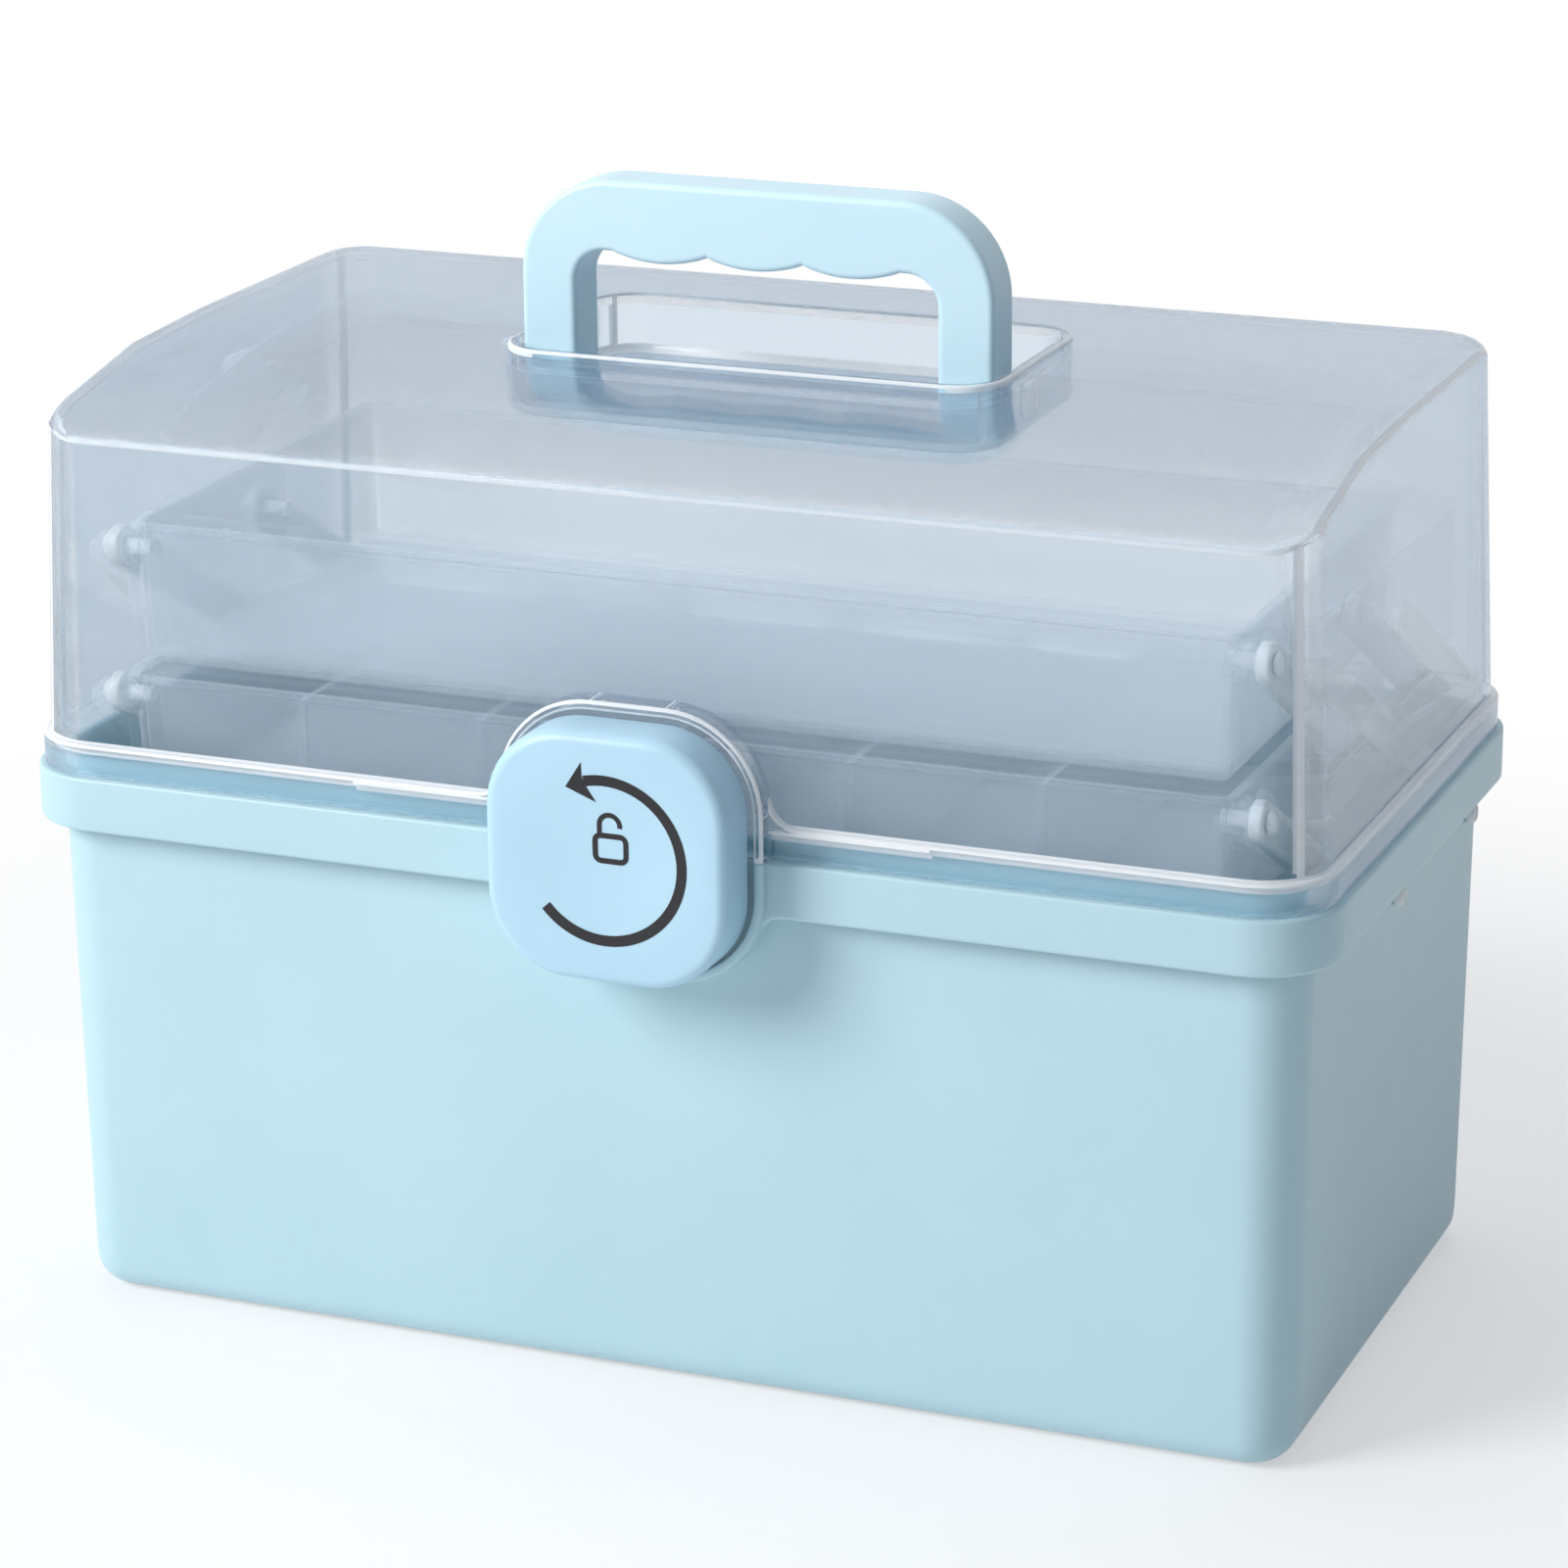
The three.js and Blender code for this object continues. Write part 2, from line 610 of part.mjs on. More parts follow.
// The cam is a disc with a curved slot. The peg enters its mouth from below, and a quarter turn
// carries the slot's closed end over it.
function makeCam() {
  const back = camFront + camThickness;
  const slotHalf = pegRadius + fit + gap;
  const disc = barY(camRadius, 0, knobZ, camFront, back, 2 * roundSteps);
  const boss = box(-camBoss / 2, camBoss / 2, camFront - camBossLength, back,
    knobZ - camBoss / 2, knobZ + camBoss / 2);
  const shape = new THREE.Shape();
  const [low, high] = [pegOrbit - slotHalf, pegOrbit + slotHalf];
  shape.moveTo(-slotHalf, knobZ - camRadius - overrun);
  shape.lineTo(slotHalf, knobZ - camRadius - overrun);
  shape.lineTo(slotHalf, knobZ - Math.sqrt(high ** 2 - slotHalf ** 2));
  shape.absarc(0, knobZ, high, Math.asin(slotHalf / high) - Math.PI / 2, 0);
  shape.absarc(pegOrbit, knobZ, slotHalf, 0, Math.PI);
  shape.absarc(0, knobZ, low, 0, -Math.PI / 2, true);
  shape.lineTo(-slotHalf, knobZ - low);
  const slot = frontPlate(shape, camFront - overrun, back + overrun);
  const bore = barY(axleRadius + gap, 0, knobZ, camFront - camBossLength - overrun, back + overrun);
  return union(disc, boss).subtract(slot).subtract(bore);
}

function makeAxleScrew() {
  const seat = plateBack + gap + washerThickness + gap;
  const tip = camFront - camBossLength;
  const crossSlot = screwHeadRadius / 4;
  return union(barY(axleRadius, 0, knobZ, tip, seat + gap, smallRoundSteps),
    barY(screwHeadRadius, 0, knobZ, seat, seat + screwHeadThickness))
    .subtract(box(-crossSlot / 2, crossSlot / 2, seat + screwHeadThickness / 2, seat + 2 * screwHeadThickness,
      knobZ - screwHeadRadius / 2, knobZ + screwHeadRadius / 2))
    .subtract(box(-screwHeadRadius / 2, screwHeadRadius / 2, seat + screwHeadThickness / 2,
      seat + 2 * screwHeadThickness, knobZ - crossSlot / 2, knobZ + crossSlot / 2));
}

function makeWasher() {
  const face = plateBack + gap;
  return barY(washerRadius, 0, knobZ, face, face + washerThickness)
    .subtract(barY(axleRadius + gap, 0, knobZ, face - overrun, face + washerThickness + overrun));
}

// Lid hinge pin, with a head at its outer end.
function makeHingePin() {
  const half = lidBarrelLength / 2 + fit + tubBarrelLength;
  const headAt = hingeOffset + half + gap;
  return union(
    barX(hingePinRadius, hingeY, hingeZ, hingeOffset - half - hingePinHead / 2, headAt + gap),
    barX(hingePinHead, hingeY, hingeZ, headAt, headAt + pinHeadThickness));
}

// Trays

function trayShell(front, back, bottom, height) {
  const ring = (grow) => (inset, radius) => roundRectangle(-trayHalfLength + grow + inset,
    trayHalfLength - grow - inset, front + grow + inset, back - grow - inset, radius);
  const shell = draftedBody(ring(trayRimBead), trayTaper, trayCorner, trayFootRound, bottom, bottom + height);
  const bead = slab(-trayHalfLength, trayHalfLength, front, back, trayCorner + trayRimBead,
    bottom + height - trayRimBeadHeight, bottom + height);
  return union(shell, bead);
}

function trayCavity(front, back, bottom, height) {
  const grow = trayRimBead + trayWall;
  const ring = (inset, radius) => roundRectangle(-trayHalfLength + grow + inset,
    trayHalfLength - grow - inset, front + grow + inset, back - grow - inset, radius);
  return draftedBody(ring, trayTaper, trayCorner - trayWall, trayFootRound - trayWall,
    bottom + trayFloor, bottom + height + overrun);
}

// Bosses on both end walls of a tray, each bored for its pin.
function withBosses(tray, places, cavity) {
  let solid = tray;
  places.forEach(([y, z]) => {
    const boss = barX(bossRadius, y, z, trayBoreEnd, bossFace)
      .subtract(cavity);
    solid = union(solid, boss, mirrored(boss));
  });
  places.forEach(([y, z]) => {
    const bore = barX(armPinRadius + gap, y, z, trayHalfLength / 2, bossFace + overrun);
    solid = solid.subtract(bore).subtract(mirrored(bore));
  });
  return solid;
}

function makeTopTray() {
  const cavity = trayCavity(topTrayFront, topTrayBack, topTrayBottom, topTrayHeight);
  const shell = trayShell(topTrayFront, topTrayBack, topTrayBottom, topTrayHeight).subtract(cavity);
  return withBosses(shell, [topFront, topRear], cavity);
}

function makeMiddleTray() {
  const cavity = trayCavity(middleTrayFront, middleTrayBack, middleTrayBottom, middleTrayHeight);
  let tray = trayShell(middleTrayFront, middleTrayBack, middleTrayBottom, middleTrayHeight).subtract(cavity);
  const pitch = 2 * trayHalfLength / middleTrayCells;
  const wallTop = middleTrayBottom + middleTrayHeight - trayRimBeadHeight;
  for (let i = 1; i < middleTrayCells; i++) {
    const x = -trayHalfLength + i * pitch;
    tray = union(tray, box(x - trayWall / 2, x + trayWall / 2, middleTrayFront + trayRimBead + trayWall / 2,
      middleTrayBack - trayRimBead - trayWall / 2, middleTrayBottom + trayFloor / 2, wallTop)
      .intersect(trayShell(middleTrayFront, middleTrayBack, middleTrayBottom, middleTrayHeight)));
  }
  return withBosses(tray, [middleFront, middleRear, railScrew], cavity);
}

// Arms and rails

// A flat bar with round ends between two places in the side view.
function link([y0, z0], [y1, z1], width, x0, x1) {
  const reach = Math.hypot(y1 - y0, z1 - z0);
  const turn = Math.atan2(z1 - z0, y1 - y0);
  const outline = [];
  for (let i = 0; i <= linkSteps; i++) {
    const a = turn - Math.PI / 2 + Math.PI * i / linkSteps;
    outline.push(new THREE.Vector2(y1 + width / 2 * Math.cos(a), z1 + width / 2 * Math.sin(a)));
  }
  for (let i = 0; i <= linkSteps; i++) {
    const a = turn + Math.PI / 2 + Math.PI * i / linkSteps;
    outline.push(new THREE.Vector2(y0 + width / 2 * Math.cos(a), z0 + width / 2 * Math.sin(a)));
  }
  const plate = sidePlate(outline, x0, x1);
  // A shallow trough along the outer face leaves a raised edge.
  const trough = [];
  const inset = width / 3;
  const along = [Math.cos(turn), Math.sin(turn)];
  [[width, -1], [reach - width, -1], [reach - width, 1], [width, 1]].forEach(([run, side]) => {
    trough.push(new THREE.Vector2(y0 + run * along[0] - side * (width / 2 - inset) * along[1],
      z0 + run * along[1] + side * (width / 2 - inset) * along[0]));
  });
  return plate.subtract(sidePlate(trough, x1 - (x1 - x0) / 4, x1 + overrun));
}

function arm(from, to, x0, x1, fromRadius, toRadius) {
  return link(from, to, armWidth, x0, x1)
    .subtract(barX(fromRadius + gap, ...from, x0 - overrun, x1 + overrun))
    .subtract(barX(toRadius + gap, ...to, x0 - overrun, x1 + overrun));
}

function makeRail() {
  const stubEnd = firstLayer - gap / 2;
  let rail = union(link(middleRear, railEnd, railWidth, railLayerStart, railLayerStart + railLayer),
    barX(stubRadius, ...middleRear, stubEnd, railLayerStart + railLayer / 2),
    barX(stubRadius, ...railEnd, stubEnd, railLayerStart + railLayer / 2),
    barX(stubRadius, ...railScrew, stubEnd, railLayerStart + railLayer / 2));
  [middleRear, railEnd, railScrew].forEach((place) => {
    rail = rail.subtract(barX(armPinRadius + gap, ...place, stubEnd - overrun, outerLayerStart));
  });
  return rail;
}

// A pin along X with a split round head at its outer end.
function splitPin([y, z], x0, headAt) {
  const head = barX(pinHeadRadius, y, z, headAt, headAt + pinHeadThickness, smallRoundSteps);
  const split = box(headAt + pinHeadThickness / 3, headAt + 2 * pinHeadThickness, y - splitWidth / 2,
    y + splitWidth / 2, z - pinHeadRadius - overrun, z + pinHeadRadius + overrun);
  return union(barX(armPinRadius, y, z, x0, headAt + pinHeadThickness / 3), head).subtract(split);
}

// A second, plain head keeps a pin from coming out inwards.
const innerHead = ([y, z], x) => barX(pinHeadRadius, y, z, x - pinCollar, x);

addPart('tub', makeTub(), bluePolypropylene);
addPart('lid', makeLid(), clearStyrene);
addPart('handle', makeHandle(), bluePolypropylene);
addPair('handle_pin', makeHandlePin(), whiteNylon);
addPart('lock_knob', makeKnob(), bluePolypropylene);
addPart('lock_cam', makeCam(), whiteNylon);
addPart('lock_axle_screw', makeAxleScrew(), zincSteel);
addPart('lock_washer', makeWasher(), zincSteel);
addPair('hinge_pin', makeHingePin(), zincSteel);
addPart('top_tray', makeTopTray(), clearStyrene);
addPart('middle_tray', makeMiddleTray(), clearStyrene);
addPair('tray_rail', makeRail(), whiteNylon);

addPair('lower_front_arm', arm(lowerFront, middleFront, firstLayer, innerEnd, armPinRadius, armPinRadius),
  whiteNylon);
addPair('lower_rear_arm', arm(lowerRear, middleRear, outerLayerStart, outerLayerEnd, armPinRadius,
  armPinRadius), whiteNylon);
addPair('upper_front_arm', arm(middleRear, topFront, firstLayer, innerEnd, stubRadius, armPinRadius),
  whiteNylon);
addPair('upper_rear_arm', arm(railEnd, topRear, firstLayer, innerEnd, stubRadius, armPinRadius), whiteNylon);

addPair('base_front_pin', union(splitPin(lowerFront, firstLayer - gap, tubWallOut + gap),
  innerHead(lowerFront, firstLayer - gap)), whiteNylon);
addPair('base_rear_pin', union(splitPin(lowerRear, outerLayerStart - gap, tubWallOut + gap),
  innerHead(lowerRear, outerLayerStart - gap)), whiteNylon);
addPair('middle_front_pin', splitPin(middleFront, trayBoreEnd, innerEnd + gap), whiteNylon);
addPair('middle_rear_pin', splitPin(middleRear, trayBoreEnd, outerLayerEnd + gap), whiteNylon);
addPair('rail_end_pin', union(splitPin(railEnd, firstLayer - gap, railLayerStart + railLayer + gap),
  innerHead(railEnd, firstLayer - gap)), whiteNylon);
addPair('rail_screw', splitPin(railScrew, trayBoreEnd, railLayerStart + railLayer + gap), whiteNylon);
addPair('top_front_pin', splitPin(topFront, trayBoreEnd, innerEnd + gap), whiteNylon);
addPair('top_rear_pin', splitPin(topRear, trayBoreEnd, innerEnd + gap), whiteNylon);

export default parts;
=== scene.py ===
"""Medication lock box: the looks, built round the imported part.

Sizes are in millimetres and become metres where a mesh is made. X runs along the box, the knob
is at -Y, the hinge at +Y, and the origin is the middle of the face that the tub stands on.
"""

import json
import math

import bmesh
import bpy
from mathutils import Matrix, Vector


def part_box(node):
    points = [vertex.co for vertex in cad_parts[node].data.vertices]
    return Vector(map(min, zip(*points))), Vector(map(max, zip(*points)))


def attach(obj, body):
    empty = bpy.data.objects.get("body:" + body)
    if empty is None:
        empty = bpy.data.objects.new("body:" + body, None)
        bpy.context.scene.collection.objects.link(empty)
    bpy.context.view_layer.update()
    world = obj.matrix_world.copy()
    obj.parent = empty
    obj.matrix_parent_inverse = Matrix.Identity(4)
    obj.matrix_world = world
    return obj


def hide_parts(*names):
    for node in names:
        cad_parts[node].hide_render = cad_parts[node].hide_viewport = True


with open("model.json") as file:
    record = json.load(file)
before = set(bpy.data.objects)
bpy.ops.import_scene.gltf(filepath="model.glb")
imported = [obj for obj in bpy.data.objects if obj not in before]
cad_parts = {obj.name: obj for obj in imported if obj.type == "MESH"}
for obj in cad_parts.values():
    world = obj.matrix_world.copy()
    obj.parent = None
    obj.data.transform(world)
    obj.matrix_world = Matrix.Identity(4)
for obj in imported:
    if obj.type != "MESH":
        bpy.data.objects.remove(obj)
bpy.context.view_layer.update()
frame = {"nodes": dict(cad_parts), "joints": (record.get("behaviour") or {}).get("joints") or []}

MM = 0.001


def node_box(node):
    """A node's lowest and highest corners in millimetres."""
    low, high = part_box(node)
    return Vector(low) / MM, Vector(high) / MM


def joint_place(name):
    """Where a joint's axis crosses the side view, as (y, z) in millimetres."""
    joint = next(j for j in frame["joints"] if j["name"] == name)
    return joint["pos_m"][1] / MM, joint["pos_m"][2] / MM


# Sizes

KNOB_LOW, KNOB_HIGH = node_box("lock_knob")
HANDLE_LOW, HANDLE_HIGH = node_box("handle")

# Tub
RIM_HALF_LENGTH = node_box("tub")[1].x
RIM_HALF_WIDTH = 90.0
RIM_TOP = 140.0
RIM_BAND = 13.7
RIM_CORNER = 20.0
RIM_OVERHANG = 6.2
TUB_WALL = 2.2
TUB_FLOOR = 2.5
TUB_TAPER = 2.0
FOOT_ROUND = 8.0
FOOT_STEP = 3.0  # from the foot's round up to where the wall's taper starts
SKIRT_STEP = 1.0  # below the band's underside, where the taper ends
LIP_HEIGHT = 4.0
LIP_SET = 0.2  # behind the wall's outer face
NOTCH_GAP = 0.7  # beside the tongue
NOTCH_DROP = 0.4  # under the tongue
PEG_RADIUS = 2.5
PEG_DROP = 16.0
PEG_REACH = 2.2
BASE_BOSS_STARTS = {"base_front_pin_right": 148.8, "base_rear_pin_right": 154.6}
BASE_BOSS_SET = 1.2  # behind the wall's outer face
BOSS_EDGE = 0.5
TUB_HALF_LENGTH = RIM_HALF_LENGTH - RIM_OVERHANG
TUB_HALF_WIDTH = RIM_HALF_WIDTH - RIM_OVERHANG
TUB_CORNER = RIM_CORNER - RIM_OVERHANG
EDGE = 0.8  # round on a moulded edge
BAR_EDGE = 0.4  # round on the end of a bar
OVERRUN = 1.0  # how far a cutter reaches past what it cuts
CAP_SET = 8.0  # how far inside its round a flat face is closed

# Lid
SEAM_GAP = 0.3
LID_WALL = 2.0
LID_BOTTOM = RIM_TOP + SEAM_GAP
ROOF_TOP = 239.2
FLANGE_TOP = 148.2
FLANGE_INSET = 1.5
LID_STEP = 1.9
LID_DRAFT = 3.9
FLANGE_FILLET = 0.5
ROOF_DROP = 14.0  # from the top down to the front crease
ROOF_FLAT_START = 20.0
ROOF_FALL_POWER = 3.7
CREASE_ROUND = 2.6
ROOF_BACK_ROUND = 6.0
ROOF_END_ROUND = 8.0
ROOF_END_DROP = 4.3
LEAST_ROUND = 0.7
INNER_ROUND_SHARE = 0.8  # of the wall's thickness, taken off the round inside
WALL_LEVEL_SHARES = (0.03, 0.3, 0.65, 0.97, 1.0)
ROOF_STEPS = 18
ROOF_FIRST_STEP = 0.25  # a narrow one beside the edge keeps the roof flat

# Handle and pocket
HANDLE_HALF = (HANDLE_HIGH.y - HANDLE_LOW.y) / 2
HANDLE_PIVOT = joint_place("handle_fold")
HANDLE_SPAN_HALF = HANDLE_HIGH.x
HANDLE_LEG = 14.3
HANDLE_BAR = 17.5
HANDLE_TOP = HANDLE_HIGH.z
HANDLE_OUTER_CORNER = 24.0
HANDLE_INNER_CORNER = 8.0
HANDLE_EDGE = 1.5
HANDLE_LEAST_HALF = 0.4
HANDLE_EDGE_SHARE = 0.9  # of the thickness left where the foot narrows, at most
HANDLE_PIN_BORE = 2.5
HANDLE_PIN_DEPTH = 11.0
LEG_SHARES = (0.15, 0.5, 0.95)
LOBES = 3
LOBE_MARGIN = 1.95
LOBE_PITCH = 2 * (HANDLE_SPAN_HALF - HANDLE_LEG - HANDLE_INNER_CORNER - LOBE_MARGIN) / LOBES
LOBE_DEPTH = 2.4
LOBE_POWER = 0.8
LOBE_STEPS = 20
HANDLE_SIDE_GAP = 1.5
POCKET_HALF = HANDLE_SPAN_HALF + HANDLE_SIDE_GAP
POCKET_FRONT = -21.95
POCKET_BACK = 44.8
POCKET_WALL = 2.0
POCKET_CORNER = 11.0
POCKET_FLOOR = HANDLE_PIVOT[1] - HANDLE_HALF - SEAM_GAP
POCKET_TOP = node_box("lid")[1].z
POCKET_FOOT_ROUND = 3.0
POCKET_INNER_ROUND = 2.0
HANDLE_BOSS = 4.4

# Lock
KNOB_Z = joint_place("knob_turn")[1]
KNOB_SIZE = KNOB_HIGH.x * 2
KNOB_CORNER = 20.5
KNOB_FACE = KNOB_LOW.y
KNOB_BACK = KNOB_HIGH.y
KNOB_ROUND = 2.8  # round between face and side
KNOB_WALL = 2.2
DISH_RADIUS = 25.0
DISH_DEPTH = 1.2
DISH_POWER = 1.4
DISH_STEPS = 17
DISH_TURN_SHARE = 0.4  # of the way in, where the outline has become a circle
KNOB_FOOT_ROUND = 0.5
KNOB_CAP_SET = 10.0
HUB_RADIUS = 9.0
HUB_LAP = 0.3
SOCKET_HALF = 4.8
SOCKET_DEPTH = 6.5
LUG_SIZE = 67.5
LUG_CORNER = 24.0
LUG_BORDER = 2.4
LUG_FRONT = -RIM_HALF_WIDTH - 2.4
LUG_FLARE = 6.0  # hollow rounding from the lug out to the band's lower edge
ARCH_FLARE = 8.0  # and from the arch out to the flange's top
FLARE_LAP = 1.2
FLARE_STEPS = 20
TONGUE_PLATE = 2.2
TONGUE_WIDTH = 18.0
TONGUE_DROP = 7.9
TONGUE_LAP = 3.0
RECESS_DEPTH = 12.0
AXLE_BORE = 2.3

# Hinge
HINGE_PLACE = joint_place("lid_hinge")
HINGE_OFFSET = 85.0
BARREL_RADIUS = 3.5
HINGE_BORE = 1.8
LID_BARREL = 24.0
TUB_BARREL = 8.0
BARREL_GAP = 0.4

# Trays and arms
TRAY_WALL = 1.8
TRAY_BOSS_REACH = 2.0
TRAY_HALF_LENGTH = node_box("top_tray")[1].x - TRAY_BOSS_REACH
TRAY_BEAD = 1.2
TRAY_BEAD_HEIGHT = 2.4
TRAY_CORNER = 5.2
TRAY_TAPER = 1.5
TRAY_FOOT_ROUND = 5.0
TRAY_CAP_SET = 5.0
TRAY_EDGE = 0.6
TRAY_LEAST_CORNER = 0.8
TRAY_DRAFT_START = 2.0
TRAY_DRAFT_SHARE = 0.9  # of the taper, reached just above the foot's round
TRAY_CELLS = 6
BOSS_RADIUS = 5.5
BOSS_FACE = TRAY_HALF_LENGTH + TRAY_BOSS_REACH
BOSS_LENGTH = 5.4
CROSS_WALL_SET = 1.2
ARM_WIDTH = 10.0
ARM_EDGE = 0.7
TROUGH_RIM = 2.4
TROUGH_SLOPE = 0.6
TROUGH_END_SHARE = 0.75  # of the width, from a pin to the trough's end
STUB_RADIUS = 3.1
RAIL_LAYER = 2.2
RAIL_WIDTH = 9.6
BORE_GAP = 0.3
PIN_RADIUS = 2.0
PIN_HEAD = 2.8
PIN_HEAD_RISE = 2.2
PIN_HEAD_EDGE = 0.3
PIN_DOME_FOOT = 0.5
PIN_CROWN_SHARE = 0.6  # of the head's radius, left at the top of its dome
PIN_SLOT = 0.8
PIN_LAP = 0.5
PIN_STEPS = 24
PIN_FACTS = ("side", "shank", "width")
HANDLE_PIN_RADIUS = 2.2
HANDLE_PIN_HEAD = 3.7

CORNER_STEPS = 12
LEAST_CORNER = 0.3
BAR_END_STEPS = 16
ROUND_STEPS = 32
SIDE_SHARES = (0.02, 0.25, 0.5, 0.75, 0.98)
SAME_PLACE = 1e-5  # points nearer than this are one
CREASE_ANGLE = math.radians(32)  # faces that meet at more stay sharp


# Meshes


def link_mesh(name, bm):
    """Turns a bmesh in millimetres into an object in metres, with its faces pointing outwards."""
    bmesh.ops.remove_doubles(bm, verts=bm.verts, dist=SAME_PLACE)
    bmesh.ops.recalc_face_normals(bm, faces=bm.faces)
    bmesh.ops.scale(bm, vec=(MM, MM, MM), verts=bm.verts)
    mesh = bpy.data.meshes.new(name)
    bm.to_mesh(mesh)
    bm.free()
    piece = bpy.data.objects.new(name, mesh)
    bpy.context.scene.collection.objects.link(piece)
    return piece


def loft(name, rings):
    """A closed skin through rings of as many points, capped at both ends."""
    bm = bmesh.new()
    rows = [[bm.verts.new(point) for point in ring] for ring in rings]
    count = len(rows[0])
    for low, high in zip(rows, rows[1:]):
        for i in range(count):
            j = (i + 1) % count
            bm.faces.new((low[i], low[j], high[j], high[i]))
    bm.faces.new(rows[0][::-1])
    bm.faces.new(rows[-1])
    return link_mesh(name, bm)


def outline(half_x, half_y, radius, centre=(0.0, 0.0), steps=CORNER_STEPS):
    """A rounded rectangle as (point, normal) pairs. Points beside each corner keep the sides flat."""
    radius = max(radius, LEAST_CORNER)
    signs = ((1, 1), (-1, 1), (-1, -1), (1, -1))
    places = []
    for corner, (sx, sy) in enumerate(signs):
        cx, cy = sx * (half_x - radius), sy * (half_y - radius)
        for i in range(steps + 1):
            turn = (corner + i / steps) * math.pi / 2
            normal = (math.cos(turn), math.sin(turn))
            places.append(((cx + radius * normal[0], cy + radius * normal[1]), normal))
        (x0, y0), (nx, ny) = places[-1]
        ax, ay = signs[(corner + 1) % 4]
        x1 = ax * (half_x - radius) + radius * nx
        y1 = ay * (half_y - radius) + radius * ny
        for share in SIDE_SHARES:
            places.append(((x0 + (x1 - x0) * share, y0 + (y1 - y0) * share), (nx, ny)))
    return [((x + centre[0], y + centre[1]), normal) for (x, y), normal in places]


def stack(name, half_x, half_y, radius, levels, centre=(0.0, 0.0), least=LEAST_CORNER):
    """A closed skin through level outlines, each given as (how far it is set in, height)."""
    return loft(name, [[(x, y, z) for (x, y), _ in
                        outline(half_x - inset, half_y - inset, max(radius - inset, least), centre)]
                       for inset, z in levels])


def front_ring(size, radius, y):
    """A rounded square round the knob's axle that faces the front."""
    return [(x, y, KNOB_Z + z) for (x, z), _ in outline(size / 2, size / 2, radius)]


def arc(steps, end=90.0):
    """(sine, cosine) along a part of a circle, in degrees."""
    turns = [math.radians(end * i / steps) for i in range(steps + 1)]
    return [(math.sin(t), math.cos(t)) for t in turns]


def quarter(radius, steps):
    """A quarter round as pairs of lengths, from (radius, 0) to (0, radius)."""
    return [(radius * (1 - s), radius * (1 - c)) for s, c in arc(steps)]


def circle(radius, steps=ROUND_STEPS):
    return [(radius * math.cos(2 * math.pi * i / steps), radius * math.sin(2 * math.pi * i / steps))
            for i in range(steps)]


def bar_x(name, radius, y, z, x0, x1, edge=0.0):
    """A round bar along X, with rounded rims where edge is over zero."""
    rims = [(x0, radius), (x1, radius)]
    if edge:
        rims = [(x0 + u, radius - v) for u, v in quarter(edge, 4)[::-1]]
        rims += [(x1 - u, radius - v) for u, v in quarter(edge, 4)]
    return loft(name, [[(x, y + dy, z + dz) for dy, dz in circle(r)] for x, r in rims])


def bar_y(name, radius, x, z, y0, y1):
    return loft(name, [[(x + dx, y, z + dz) for dx, dz in circle(radius)] for y in (y0, y1)])


def block(name, x0, x1, y0, y1, z0, z1):
    """A plain cutter."""
    ring = ((x0, y0), (x1, y0), (x1, y1), (x0, y1))
    return loft(name, [[(x, y, z) for x, y in ring] for z in (z0, z1)])


def mirrored(piece, name):
    """A copy for the other end of the box."""
    copy = piece.copy()
    copy.data = piece.data.copy()
    copy.name = copy.data.name = name
    copy.data.transform(Matrix.Scale(-1, 4, (1, 0, 0)))
    copy.data.flip_normals()
    bpy.context.scene.collection.objects.link(copy)
    return copy


def both_ends(piece):
    return [piece, mirrored(piece, piece.name + "_other_end")]


def apply_modifiers(piece):
    """Turns the piece with its modifiers into a plain mesh."""
    graph = bpy.context.evaluated_depsgraph_get()
    mesh = bpy.data.meshes.new_from_object(piece.evaluated_get(graph))
    piece.modifiers.clear()
    piece.data = mesh


def combine(piece, others, operation):
    """Adds solids to a piece (UNION) or cuts them out of it (DIFFERENCE), then drops them."""
    for other in others:
        change = piece.modifiers.new("join", "BOOLEAN")
        change.object = other
        change.operation = operation
        change.solver = "EXACT"
    apply_modifiers(piece)
    for other in others:
        bpy.data.objects.remove(other)
    return piece


def add(piece, *others):
    return combine(piece, others, "UNION")


def cut(piece, *others):
    return combine(piece, others, "DIFFERENCE")


def dress(piece, material, body, slot, *nodes):
    """Gives a finished piece smooth shading, its material and its place on the moving frame."""
    mesh = piece.data
    mesh.polygons.foreach_set("use_smooth", [True] * len(mesh.polygons))
    mesh.set_sharp_from_angle(angle=CREASE_ANGLE)
    mesh.materials.clear()
    mesh.materials.append(material)
    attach(piece, body)
    if nodes:
        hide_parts(*nodes)


def dress_twins(right, left_name, body, node):
    """Dresses a white moulding and its twin at the left-hand end, for the two nodes of that name."""
    left = mirrored(right, left_name)
    dress(right, WHITE, body, "white_plastic", node + "_right")
    dress(left, WHITE, body, "white_plastic", node + "_left")


TIGHT_ROUND, WIDE_ROUND = 1.0, 2.5  # widest face that counts as part of one
TIGHT_TURN, WIDE_TURN = math.radians(12), math.radians(6)
HIGHLIGHT_STRIP_SLANT = (0.74, 0.81)  # the sideways share of a wide round's normal where its painted highlight strip lies
